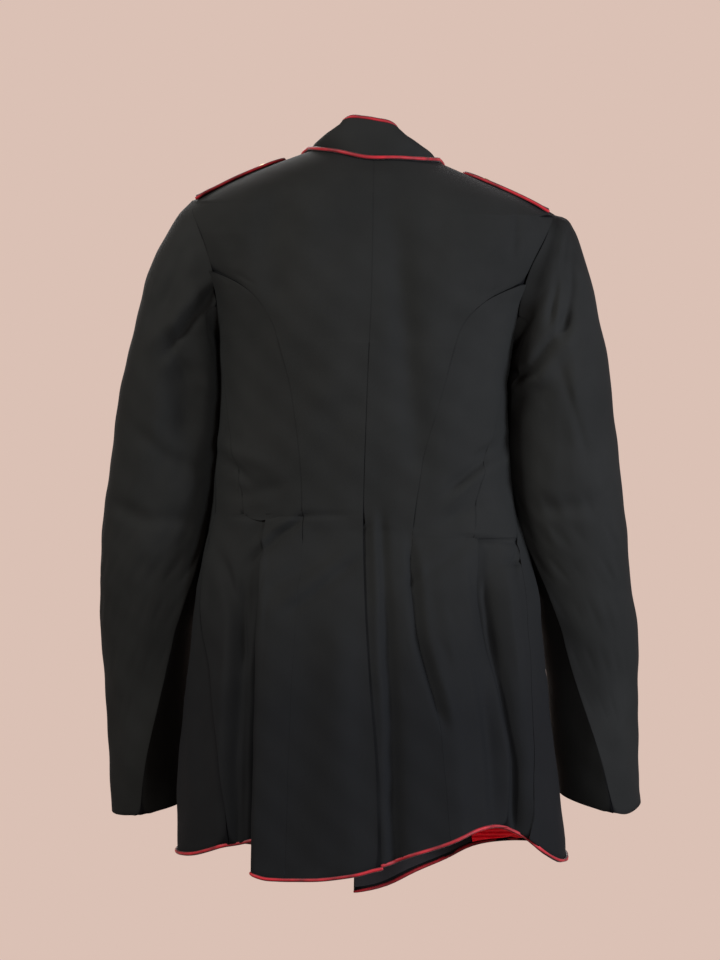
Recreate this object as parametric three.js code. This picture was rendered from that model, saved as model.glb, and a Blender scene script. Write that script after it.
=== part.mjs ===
// Military dress jacket in dark wool with red piping. It stands hollow and upright, filled out
// as when worn, and is seen in the picture from behind. Millimetres, +Z up, the front faces -Y,
// the wearer's left is +X. The origin is at the level of the neck's sides, where the shoulders
// of the wearer carry the jacket.
import * as THREE from 'three';

const DEG = Math.PI / 180;

// Cloth, seams and trim
const WALL = 2.0;             // wool with its interlining
const SEAM = 0.3;             // gap between neighbouring pieces
const THIN = 1.0;             // facing and lining
const PIPING_RADIUS = 1.7;
const PIPING_SIDES = 5;
const BACK_HEM_ROOM = 0.3;    // room under the back's hem, past the gap of a seam
const PIPING_ROOM = 1.2;      // more room under an edge that curves between two points

// The right shoulder hangs lower than the left one
const LEAN = 7.5;             // height of each shoulder above or below the middle
const LEAN_REACH = 60;        // half-width over which the lean builds up
const LEAN_FULL_DROP = 80;    // above this the lean is whole
const LEAN_END_DROP = 350;    // below this the jacket is level

// Armhole, as an oval on the side of the body
const ARMHOLE_TOP = 60;
const ARMHOLE_BOTTOM = 203;
const ARMHOLE_MIDDLE = (ARMHOLE_TOP + ARMHOLE_BOTTOM) / 2;
const ARMHOLE_HALF = (ARMHOLE_BOTTOM - ARMHOLE_TOP) / 2;
const ARMHOLE_SPREAD_BACK = 17;    // degrees round the body, from the side to the back edge
const ARMHOLE_SPREAD_FRONT = 17;
const ARMHOLE_STEP = 15;           // degrees round the oval

const NECK_DROP = 6;
const FRONT_NECK_DROP = 72;
const WAIST_LEFT = 379;
const WAIST_RIGHT = 404;
const HEM_LEVEL = 745;        // where the last common row lies before the hem lines are applied
const HEM_START = 600;        // below this the rows spread to meet the hem lines
const VENT_HEM_START = -14;   // where the right back's piping comes out from under the vent's edge
const UNDERLAP = 30;          // how far the right back runs on under the vent's edge
const VENT_TOP = 397;
const VENT_SINK_START = 370;  // the right back starts to dip inside the left one here
const LAP_ROOM = 0.5;         // room between two panels that lap, past the gap of a seam
const BUTTON_STAND = 17;      // each front runs this far past the middle
const PLEAT_UNDERLAP = 12;    // how far the side skirt runs on under the pleat's edge
const PLEAT_DEPTH = 7;
const PLEAT_ROOM = 1.2;
const HIND_RIDGE = 2.5;       // pressed edge at the sleeve's hind seam
const INSIDE_MARGIN = 0.1;    // facing and lining end this share of a row above the hem
const INSIDE_GAP = 0.03;      // and this share of a column short of what is beside them
const INSIDE_ROWS = 5;        // they reach up over the last rows of the front
const LINING_EDGE = 3;        // the front's column where the lining starts
const FACING_EDGE = 5;        // the column where it meets the facing

// A table's rows with the names of its columns
function named(columns, rows) {
  return rows.map((row) => Object.fromEntries(columns.map((name, i) => [name, row[i]])));
}

// Horizontal sections of the body. drop: below the origin; left, right: half-widths;
// back, front: half-depths; centre: how far the section sits towards the back; square: exponent
const BODY_SECTIONS = [
  { drop: -4, left: 40, right: 44, back: 44, front: 36, centre: 0, square: 2.0 },
  { drop: 6, left: 60, right: 69, back: 62, front: 50, centre: 0, square: 2.05 },
  { drop: 20, left: 95, right: 103, back: 78, front: 56, centre: 0, square: 2.1 },
  { drop: 38, left: 139, right: 147, back: 91, front: 62, centre: 0, square: 2.2 },
  { drop: 50, left: 164, right: 173, back: 97, front: 66, centre: 0, square: 2.3 },
  { drop: 60, left: 184, right: 190, back: 100, front: 70, centre: 0, square: 2.3 },
  { drop: 78, left: 188, right: 191, back: 105, front: 78, centre: 0, square: 2.4 },
  { drop: 128, left: 176, right: 172, back: 111, front: 97, centre: 0, square: 2.45 },
  { drop: 203, left: 159, right: 150, back: 108, front: 112, centre: 0, square: 2.35 },
  { drop: 250, left: 157, right: 144, back: 102, front: 112, centre: 0, square: 2.3 },
  { drop: 310, left: 159, right: 145, back: 94, front: 106, centre: 0, square: 2.25 },
  { drop: 370, left: 166, right: 152, back: 88, front: 99, centre: 0, square: 2.2 },
  { drop: 395, left: 170, right: 159, back: 88, front: 98, centre: 0, square: 2.2 },
  { drop: 430, left: 176, right: 169, back: 94, front: 100, centre: 2, square: 2.2 },
  { drop: 470, left: 182, right: 177, back: 104, front: 104, centre: 5, square: 2.2 },
  { drop: 540, left: 190, right: 184, back: 116, front: 108, centre: 10, square: 2.2 },
  { drop: 620, left: 198, right: 192, back: 126, front: 112, centre: 14, square: 2.2 },
  { drop: 700, left: 201, right: 202, back: 132, front: 115, centre: 16, square: 2.2 },
  { drop: 790, left: 203, right: 212, back: 137, front: 118, centre: 18, square: 2.2 },
];

// Seams of the back, as seen from behind: across is the distance to the wearer's left
const CENTRE_BACK = named(['drop', 'across'], [
  [0, -4], [130, -2], [250, 3], [397, 7], [476, 5], [575, -1], [640, -6], [760, -9],
]);
const PRINCESS_LEFT = named(['drop', 'across'], [
  [121, 169], [128, 152], [136, 137], [150, 121], [168, 108], [190, 98], [260, 81], [340, 72],
  [405, 70], [468, 75], [572, 82], [760, 88],
]);
const PRINCESS_RIGHT = named(['drop', 'across'], [
  [134, -168], [140, -147], [151, -130], [167, -107], [190, -93], [250, -76], [343, -52],
  [399, -45], [430, -44], [508, -51], [577, -68], [760, -84],
]);
// The seam between side back and side body, as a turn round the body (0 behind, 90 at the side)
const SIDE_BODY_LEFT = named(['drop', 'turn'], [
  [193, 81.5], [240, 78], [295, 72.4], [345, 68.3], [395, 63.9],
]);
const SIDE_BODY_RIGHT = named(['drop', 'turn'], [
  [193, -81.5], [240, -75.6], [300, -67.4], [358, -60.8], [404, -57.4],
]);
const PLEAT_LEFT = named(['drop', 'across'], [
  [370, 108], [427, 112], [530, 120], [610, 122], [760, 124],
]);
const PLEAT_RIGHT = named(['drop', 'across'], [
  [400, -112], [468, -121], [500, -126], [580, -142], [640, -150], [760, -152],
]);
const SIDE_SEAM_LEFT = named(['drop', 'across'], [
  [379, 160], [419, 171], [494, 176], [523, 171], [569, 165], [622, 158], [760, 148],
]);
const SIDE_SEAM_RIGHT = named(['drop', 'across'], [
  [373, -148], [404, -154], [470, -161], [560, -165], [640, -166], [760, -164],
]);

// Hem lines, from the wearer's right to the left. turn runs from the middle of the back (0)
// over the wearer's left side (90) to the middle of the front (180)
const HEM_BACK = named(['across', 'drop'], [
  [-154, 702], [-139, 700], [-123, 702], [-104, 709], [-80, 719], [-32, 734], [-9, 744], [21, 752],
  [63, 756], [87, 756], [113, 754], [126, 747],
]);
const HEM_SIDES = named(['turn', 'drop'], [
  [-180, 773], [-165, 758], [-145, 737], [-132, 723], [-120, 717], [-108, 719], [-90, 734],
  [-76, 738], [-68, 737], [-64.5, 733], [-61.5, 714], [-59, 703], [-54, 700], [-45, 703],
  [40, 709], [48, 713], [57, 720], [66, 729], [74, 730], [90, 727], [110, 718], [124, 720],
  [145, 733], [165, 746], [180, 751],
]);

// Largest folds of the back and skirt. from, to: drops; start, end: across; depth: out of the
// form (+) or into it (-); left, right: how far it fades to each side
const BACK_FOLDS = [
  { from: 400, to: 760, start: 104, end: 116, depth: 5, left: 6, right: 20 },
  { from: 410, to: 760, start: 128, end: 134, depth: -9, left: 14, right: 9 },
  { from: 400, to: 760, start: -118, end: -148, depth: -12, left: 13, right: 9 },
  { from: 420, to: 760, start: -140, end: -172, depth: 6, left: 10, right: 14 },
  { from: 400, to: 600, start: -43, end: -71, depth: -6, left: 10, right: 12 },
  { from: 440, to: 760, start: -62, end: -104, depth: 6, left: 20, right: 22 },
  { from: 430, to: 760, start: -16, end: -22, depth: -6, left: 8, right: 14 },
  { from: 430, to: 760, start: 30, end: 52, depth: 4, left: 22, right: 20 },
  { from: 40, to: 170, start: 99, end: 98, depth: -4, left: 12, right: 12 },
  { from: 50, to: 340, start: -26, end: -52, depth: -4, left: 16, right: 16 },
];
// The same on the front, where across is read from the front's own side of the body
const FRONT_FOLDS = [
  { from: 420, to: 780, start: 96, end: 118, depth: -7, left: 14, right: 16 },
  { from: 430, to: 780, start: 62, end: 74, depth: 5, left: 18, right: 18 },
  { from: 420, to: 780, start: -92, end: -112, depth: -7, left: 16, right: 13 },
  { from: 430, to: 780, start: -58, end: -70, depth: 5, left: 18, right: 18 },
  { from: 230, to: 420, start: 118, end: 92, depth: -4, left: 14, right: 14 },
  { from: 240, to: 420, start: -112, end: -90, depth: -4, left: 14, right: 14 },
];
const FOLD_FADE = 70;         // length over which a fold starts and ends

// Sleeves, ring by ring from the armhole to the cuff. outer, inner: the points furthest from
// and nearest to the body, with their drops; ahead: how far the ring sits forwards; half: its
// half-depth; pitch: how much its back edge drops; seam, fore: turns of the two sleeve seams
// round the ring (0 outside, 90 behind); flat: how flat the under-sleeve is pressed
const SLEEVE_COLUMNS = [
  'at', 'outer', 'outerDrop', 'inner', 'innerDrop', 'ahead', 'half', 'pitch', 'seam', 'fore', 'flat',
];
const SLEEVE_LEFT = named(SLEEVE_COLUMNS, [
  [0, 187, 63, 159, 203, 0, 48, 0, 120, 240, 0],
  [1, 199, 75, 161, 207, 0, 51, 0, 122, 238, 0],
  [2, 211, 95, 161, 211, 0, 53, 0, 126, 234, 0],
  [3, 228, 128, 161, 218, 1, 54, 0, 132, 229, 0],
  [4, 241, 173, 159.5, 232, 2, 54, 0, 140, 222, 0.05],
  [5, 253, 222, 158, 253, 4, 53, 0, 148, 216, 0.1],
  [6, 263, 275, 158.5, 285, 7, 52, 0.02, 153, 210, 0.1],
  [7, 271, 340, 163, 340, 12, 52, 0.06, 156, 206, 0.2],
  [8, 278, 396, 170, 394, 20, 51, 0.1, 150, 208, 0.35],
  [9, 281, 450, 174, 446, 31, 49, 0.13, 130, 214, 0.5],
  [10, 280, 512, 174, 505, 43, 47, 0.16, 112, 222, 0.55],
  [11, 274, 574, 175, 564, 54, 45, 0.19, 95, 230, 0.5],
  [12, 272, 633, 178, 620, 64, 43, 0.21, 80, 236, 0.4],
  [13, 268, 688, 180, 672, 72, 42, 0.22, 72, 240, 0.3],
]);
const SLEEVE_RIGHT = named(SLEEVE_COLUMNS, [
  [0, 193, 60, 150, 203, 0, 48, 0, 120, 240, 0],
  [1, 206, 66, 153, 207, 0, 51, 0, 122, 238, 0],
  [2, 217, 86, 152, 211, 0, 54, 0, 126, 234, 0],
  [3, 228, 122, 150, 218, 1, 55, 0, 132, 229, 0],
  [4, 240, 173, 147.5, 232, 2, 55, 0, 140, 222, 0.05],
  [5, 249, 226, 145.5, 253, 4, 55, 0, 148, 216, 0.1],
  [6, 255, 282, 145.5, 285, 7, 54, 0.02, 153, 210, 0.1],
  [7, 262, 343, 148.5, 343, 12, 54, 0.06, 158, 206, 0.2],
  [8, 267, 398, 158, 396, 20, 52, 0.1, 148, 208, 0.35],
  [9, 272, 450, 166, 446, 31, 50, 0.13, 126, 214, 0.5],
  [10, 279, 514, 168, 507, 43, 48, 0.16, 110, 222, 0.55],
  [11, 279, 575, 171, 566, 54, 46, 0.19, 93, 230, 0.5],
  [12, 280, 633, 177, 620, 64, 44, 0.21, 76, 236, 0.4],
  [13, 282, 688, 186, 665, 72, 43, 0.22, 68, 240, 0.3],
]);
const SLEEVE_STOPS = [0, 0.5, 1, 2, 3, 3.7, 4.4, 5.1, 5.8, 6.5, 7.1, 7.7, 8.3, 9, 9.8, 10.6, 11.4, 12.2, 13];
// Largest folds of a sleeve. at: ring where it is deepest; turn: where it lies; run: rings that
// it takes; slant: degrees that it turns for each ring; spread: its half-width in degrees
const SLEEVE_FOLDS_LEFT = [
  { at: 3.2, run: 1.6, turn: 60, slant: -14, spread: 12, depth: -5 },
  { at: 4.4, run: 1.0, turn: 95, slant: 30, spread: 14, depth: 4 },
  { at: 5.4, run: 1.3, turn: 105, slant: 20, spread: 20, depth: -7 },
  { at: 7.6, run: 1.0, turn: 70, slant: -30, spread: 14, depth: -4 },
  { at: 8.8, run: 1.0, turn: 300, slant: 20, spread: 22, depth: -5 },
  { at: 11.6, run: 1.4, turn: 30, slant: 10, spread: 14, depth: -3 },
];
const SLEEVE_FOLDS_RIGHT = [
  { at: 3.0, run: 1.6, turn: 72, slant: -8, spread: 9, depth: -6 },
  { at: 3.2, run: 1.4, turn: 48, slant: -8, spread: 9, depth: -5 },
  { at: 4.9, run: 0.7, turn: 110, slant: 40, spread: 16, depth: -6 },
  { at: 5.8, run: 1.2, turn: 80, slant: 12, spread: 14, depth: 4 },
  { at: 7.8, run: 1.0, turn: 60, slant: 30, spread: 14, depth: -4 },
  { at: 8.8, run: 1.0, turn: 300, slant: -20, spread: 22, depth: -5 },
  { at: 11.4, run: 1.4, turn: 25, slant: -10, spread: 14, depth: -3 },
];
const TOP_SLEEVE_COLUMNS = 16;
const UNDER_SLEEVE_COLUMNS = 8;
const SLEEVE_SEAM_TURN = 0.25;   // degrees that each piece of a sleeve keeps back from its seam

// Stand collar: its top rim, by turn round the neck. The back stands up, the sides fall inwards
const COLLAR_RIM = [
  { turn: 0, across: 0, back: 49, rise: 32, bulge: 0 },
  { turn: 24, across: 25, back: 46, rise: 31, bulge: 3 },
  { turn: 45, across: 33, back: 37, rise: 20, bulge: 9 },
  { turn: 70, across: 39, back: 17, rise: 8, bulge: 7 },
  { turn: 95, across: 41, back: -6, rise: 3, bulge: 5 },
  { turn: 120, across: 40, back: -28, rise: -5, bulge: 5 },
  { turn: 150, across: 24, back: -48, rise: -24, bulge: 3 },
  { turn: 175, across: 4, back: -54, rise: -36, bulge: 0 },
];
const RIM_LEAN = 0.5;         // share of the shoulders' lean that the collar's rim keeps
const COLLAR_WALL = 2.4;
const COLLAR_LIFT = 1.0;
const COLLAR_STEPS = 34;
const COLLAR_LEVELS = 5;

// Shoulder straps, on the ridge of the shoulder from the sleeve head towards the collar
const STRAP_THICKNESS = 2.2;
const STRAP_LIFT = 0.8;
const STRAP_PIPING_RADIUS = 1.4;
const STRAP_PIPING_RISE = 0.3;
// from, to: its ends across; half: its half-width; shift: how far its outer end lies to the back
// of the shoulder's ridge; ahead: how much further forwards its inner end lies
const STRAP_LEFT = { side: 1, from: 181, to: 92, half: 22, shift: 2, ahead: 28 };
const STRAP_RIGHT = { side: -1, from: 186, to: 101, half: 22, shift: 3, ahead: 28 };
const STRAP_STEPS = 9;
const STRAP_COLUMNS = 6;
const STRAP_POINT = 14;       // length of the strap's rounded end
const STRAP_BUTTON_INSET = 19;
const STRAP_BUTTON_LIFT = 0.8;
const STRAP_BUTTON_SIZE = 0.85;
const SLOPE_STEP = 4;         // reach over which the shoulder's slope is read

const BUTTON_PROFILE = [
  [0, 0], [6.4, 0], [8.2, 0.8], [8.6, 2.0], [8.0, 3.4], [5.6, 4.9], [2.6, 5.7], [0, 5.9],
];
const BUTTON_SEGMENTS = 10;
const FRONT_BUTTON_SIZE = 1.2;
const FRONT_BUTTON_DROPS = [98, 158, 218, 278, 338, 398];

const WOOL = { color: 0x232427, roughness: 0.82, metalness: 0 };
const RED_CORD = { color: 0xc01f33, roughness: 0.6, metalness: 0 };
const LINING = { color: 0xd01434, roughness: 0.45, metalness: 0 };
const BRASS = { color: 0xb08a45, roughness: 0.35, metalness: 1 };

// A smooth curve through a table's rows, without overshoot, read at any value of its key
function curveThrough(rows, key) {
  const columns = Object.keys(rows[0]).filter((name) => name !== key);
  const slopes = columns.map((name) => rows.map((row, i) => {
    if (i === 0 || i === rows.length - 1) return 0;
    const before = (row[name] - rows[i - 1][name]) / (row[key] - rows[i - 1][key]);
    const after = (rows[i + 1][name] - row[name]) / (rows[i + 1][key] - row[key]);
    return before * after <= 0 ? 0 : (2 * before * after) / (before + after);
  }));
  slopes.forEach((list, c) => {
    const last = rows.length - 1;
    const name = columns[c];
    list[0] = (rows[1][name] - rows[0][name]) / (rows[1][key] - rows[0][key]);
    list[last] = (rows[last][name] - rows[last - 1][name]) / (rows[last][key] - rows[last - 1][key]);
  });
  return (value) => {
    let i = 0;
    while (i < rows.length - 2 && value > rows[i + 1][key]) i += 1;
    const span = rows[i + 1][key] - rows[i][key];
    const t = THREE.MathUtils.clamp((value - rows[i][key]) / span, 0, 1);
    const result = {};
    columns.forEach((name, c) => {
      const a = rows[i][name];
      const b = rows[i + 1][name];
      const ta = slopes[c][i] * span;
      const tb = slopes[c][i + 1] * span;
      result[name] = a + t * ta + t * t * (3 * (b - a) - 2 * ta - tb) + t * t * t * (2 * (a - b) + ta + tb);
    });
    return result;
  };
}

const bodySection = curveThrough(BODY_SECTIONS, 'drop');
const smooth = (value, low, high) => THREE.MathUtils.smoothstep(value, low, high);

function lean(across, drop) {
  return LEAN * Math.tanh(across / LEAN_REACH) * (1 - smooth(drop, LEAN_FULL_DROP, LEAN_END_DROP));
}

// How far the folds of a table move the cloth out of the plain form
function foldDepth(folds, across, drop) {
  let depth = 0;
  for (const fold of folds) {
    const along = (drop - fold.from) / (fold.to - fold.from);
    if (along <= 0 || along > 1.2) continue;
    const middle = fold.start + (fold.end - fold.start) * along;
    const offset = across - middle;
    const width = offset > 0 ? fold.left : fold.right;
    const ends = fold.to >= HEM_LEVEL ? 1 : 1 - smooth(drop, fold.to - FOLD_FADE, fold.to);
    const starts = smooth(drop, fold.from, fold.from + FOLD_FADE);
    depth += fold.depth * Math.exp(-((offset / width) ** 2)) * starts * ends;
  }
  return depth;
}

// The outer form of the body at a turn (degrees) and a drop; sink moves the cloth inwards
function bodyPoint(turn, drop, sink = 0) {
  const section = bodySection(drop);
  const s = Math.sin(turn * DEG);
  const c = Math.cos(turn * DEG);
  const halfWidth = s >= 0 ? section.left : section.right;
  const halfDepth = c >= 0 ? section.back : section.front;
  const sum = Math.abs(s / halfWidth) ** section.square + Math.abs(c / halfDepth) ** section.square;
  const radius = sum ** (-1 / section.square);
  const folds = foldDepth(c >= 0 ? BACK_FOLDS : FRONT_FOLDS, radius * s, drop);
  const edge = Math.min(1, Math.abs(c) * 3.2);
  const reach = radius + folds * edge - sink;
  const x = reach * s;
  return new THREE.Vector3(x, section.centre + reach * c, lean(x, drop) - drop);
}

function surfaceNormal(surface, u, v, du, dv) {
  const across = surface(u + du, v).sub(surface(u - du, v));
  const down = surface(u, v + dv).sub(surface(u, v - dv));
  return down.cross(across).normalize();
}

function bodyNormal(turn, drop) {
  const normal = surfaceNormal((u, v) => bodyPoint(u, v), turn, drop, 0.8, 1.5);
  const out = new THREE.Vector3(Math.sin(turn * DEG), Math.cos(turn * DEG), 0.3);
  return normal.dot(out) < 0 ? normal.negate() : normal;
}

// The turn at which a seam given as a distance across the back meets a section
function turnOf(across, drop) {
  const section = bodySection(drop);
  const halfWidth = across >= 0 ? section.left : section.right;
  const share = Math.min(Math.abs(across) / halfWidth, 0.9985);
  const y = section.back * (1 - share ** section.square) ** (1 / section.square);
  return Math.atan2(across, y) / DEG;
}

function seam(table, clearance = 0) {
  const curve = curveThrough(table, 'drop');
  return (drop) => {
    let across = curve(drop).across;
    across = curve(drop - lean(across, drop)).across;
    return turnOf(across + clearance, drop);
  };
}

// Armhole: a round angle (0 at the shoulder, 90 behind, 180 under the arm) gives turn and drop
function armhole(side, round) {
  const spread = Math.sin(round * DEG) >= 0 ? ARMHOLE_SPREAD_BACK : ARMHOLE_SPREAD_FRONT;
  return {
    turn: side * (90 - spread * Math.sin(round * DEG)),
    drop: ARMHOLE_MIDDLE - ARMHOLE_HALF * Math.cos(round * DEG),
  };
}

// A closed wall of cloth: outer points in rows, the same points moved in by its thickness
function clothWall(name, outer, inner, finish) {
  const rows = outer.length;
  const columns = outer[0].length;
  const positions = [];
  const out = (r, c) => outer[r][c].toArray();
  const into = (r, c) => inner[r][c].toArray();
  const quad = (a, b, c, d) => positions.push(...a, ...b, ...c, ...a, ...c, ...d);
  for (let r = 0; r < rows - 1; r += 1) {
    for (let c = 0; c < columns - 1; c += 1) {
      quad(out(r, c), out(r + 1, c), out(r + 1, c + 1), out(r, c + 1));
      quad(into(r, c), into(r, c + 1), into(r + 1, c + 1), into(r + 1, c));
    }
    const last = columns - 1;
    quad(out(r, 0), into(r, 0), into(r + 1, 0), out(r + 1, 0));
    quad(out(r, last), out(r + 1, last), into(r + 1, last), into(r, last));
  }
  for (let c = 0; c < columns - 1; c += 1) {
    const last = rows - 1;
    quad(out(0, c), out(0, c + 1), into(0, c + 1), into(0, c));
    quad(out(last, c), into(last, c), into(last, c + 1), out(last, c + 1));
  }
  return solid(name, positions, finish);
}

// Makes the mesh, with its faces turned outwards
function solid(name, positions, finish) {
  let volume = 0;
  for (let i = 0; i < positions.length; i += 9) {
    const a = new THREE.Vector3().fromArray(positions, i);
    const b = new THREE.Vector3().fromArray(positions, i + 3);
    const c = new THREE.Vector3().fromArray(positions, i + 6);
    volume += a.dot(b.cross(c));
  }
  if (volume < 0) {
    for (let i = 0; i < positions.length; i += 9) {
      const b = positions.slice(i + 3, i + 6);
      positions.splice(i + 3, 3, ...positions.slice(i + 6, i + 9));
      positions.splice(i + 6, 3, ...b);
    }
  }
  const geometry = new THREE.BufferGeometry();
  geometry.setAttribute('position', new THREE.Float32BufferAttribute(positions, 3));
  geometry.computeVertexNormals();
  const mesh = new THREE.Mesh(geometry, new THREE.MeshStandardMaterial(finish));
  mesh.name = name;
  return mesh;
}

const jacket = new THREE.Group();

// Rows of the body that all its panels share, so that neighbours follow each other at a seam
const ARMHOLE_ROUNDS = Array.from({ length: 180 / ARMHOLE_STEP + 1 }, (unused, i) => i * ARMHOLE_STEP);
const ARMHOLE_ROWS = ARMHOLE_ROUNDS.map((round) => armhole(1, round).drop);
const YOKE_ROWS = [NECK_DROP, 15, 26, 38, 47];
const WAIST_ROWS = [228, 256, 284, 314, 346, WAIST_LEFT, 392, WAIST_RIGHT];
const SKIRT_ROWS = [432, 464, 500, 540, 580, 620, 660, 702, HEM_LEVEL];
const LOWER_ROWS = [...WAIST_ROWS, ...SKIRT_ROWS];
const ALL_ROWS = [...YOKE_ROWS, ...ARMHOLE_ROWS, ...LOWER_ROWS];

const hemBack = curveThrough(HEM_BACK, 'across');
const hemSides = curveThrough(HEM_SIDES, 'turn');

// A panel of the body between two seams. edgeA, edgeB: turns by drop; top: changes a drop near
// the neck; hem: last drop by across and turn; sink: how far it lies inside the form
function bodyPanel(name, shape) {
  const inReach = (drop) => drop >= shape.firstRow - 0.01 && drop <= shape.lastRow + 0.01;
  const rows = shape.rows ?? ALL_ROWS.filter(inReach);
  const last = rows.length - 1;
  const outer = [];
  const inner = [];
  rows.forEach((row, r) => {
    let along = 0;
    if (r === 0) along = (shape.topGap ?? SEAM / 2) / (rows[1] - rows[0]);
    if (r === last && !shape.hem) along = -(SEAM / 2) / (rows[last] - rows[last - 1]);
    const other = along < 0 ? rows[r - 1] : rows[r + 1] ?? row;
    const share = Math.abs(along);
    const a = THREE.MathUtils.lerp(shape.edgeA(row), shape.edgeA(other), share);
    const b = THREE.MathUtils.lerp(shape.edgeB(row), shape.edgeB(other), share);
    const outerRow = [];
    const innerRow = [];
    for (let c = 0; c <= shape.columns; c += 1) {
      const s = c / shape.columns;
      let turn = a + (b - a) * s;
      let drop = THREE.MathUtils.lerp(row, other, share);
      if (r === 0 && shape.firstEdge) {
        ({ turn, drop } = shape.firstEdge(s));
        drop += SEAM / 2;
      }
      if (shape.top) drop = shape.top(drop, turn, s);
      if (shape.hem && row > HEM_START) {
        const end = shape.hem(bodyPoint(turn, HEM_LEVEL).x, turn);
        drop += ((row - HEM_START) / (HEM_LEVEL - HEM_START)) * (end - HEM_LEVEL);
      }
      const sink = shape.sink ? shape.sink(bodyPoint(turn, drop).x, drop, turn) : 0;
      const point = bodyPoint(turn, drop, sink);
      outerRow.push(point);
      innerRow.push(point.clone().addScaledVector(bodyNormal(turn, drop), -WALL));
    }
    outer.push(outerRow);
    inner.push(innerRow);
  });
  jacket.add(clothWall(name, outer, inner, WOOL));
  panels[name] = { outer, inner };
}

const shoulderThenArmhole = (side) => (drop) => {
  if (drop <= ARMHOLE_TOP) return side * 90;
  const share = THREE.MathUtils.clamp((drop - ARMHOLE_MIDDLE) / ARMHOLE_HALF, -1, 1);
  return side * (90 - ARMHOLE_SPREAD_BACK * Math.sqrt(1 - share * share));
};
const frontArmhole = (side) => (drop) => {
  if (drop <= ARMHOLE_TOP) return side * 90;
  const share = THREE.MathUtils.clamp((drop - ARMHOLE_MIDDLE) / ARMHOLE_HALF, -1, 1);
  return side * (90 + ARMHOLE_SPREAD_FRONT * Math.sqrt(1 - share * share));
};

const PRINCESS_START = ARMHOLE_MIDDLE;
const SIDE_BODY_START = armhole(1, 150).drop;
const TIP_CLEARANCE = 0.7;    // degrees more at the narrow top of the side back
const TIP_END = 160;          // drop at which that room is gone
const TIP_GAP = 5;            // the tip itself ends this far below the armhole
const BACK_COLUMNS = 9;       // columns of a back or front panel, and of the narrow ones
const SIDE_COLUMNS = 5;
const EDGE_SHIFT = 0.08;      // degrees that each panel keeps back from a seam on the body
const SIDES = [
  {
    side: 1, label: 'left', waist: WAIST_LEFT, princess: PRINCESS_LEFT, sideBody: SIDE_BODY_LEFT,
    pleat: PLEAT_LEFT, sideSeam: SIDE_SEAM_LEFT,
    sleeve: SLEEVE_LEFT, folds: SLEEVE_FOLDS_LEFT, strap: STRAP_LEFT,
  },
  {
    side: -1, label: 'right', waist: WAIST_RIGHT, princess: PRINCESS_RIGHT, sideBody: SIDE_BODY_RIGHT,
    pleat: PLEAT_RIGHT, sideSeam: SIDE_SEAM_RIGHT,
    sleeve: SLEEVE_RIGHT, folds: SLEEVE_FOLDS_RIGHT, strap: STRAP_RIGHT,
  },
];
const centreBack = seam(CENTRE_BACK);
const panels = {};

// Back neck is level, the front of the neckline falls to the middle
function neckDrop(turn) {
  const share = THREE.MathUtils.clamp((Math.abs(turn) - 95) / 85, 0, 1);
  return NECK_DROP + (FRONT_NECK_DROP - NECK_DROP) * share ** 1.35;
}

function necklineRows(drop, turn, s) {
  if (drop > ARMHOLE_BOTTOM) return drop;
  const fade = 1 - (drop - NECK_DROP) / (ARMHOLE_BOTTOM - NECK_DROP);
  return drop + (neckDrop(turn) - NECK_DROP) * fade * Math.min(1, s * 5);
}

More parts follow.
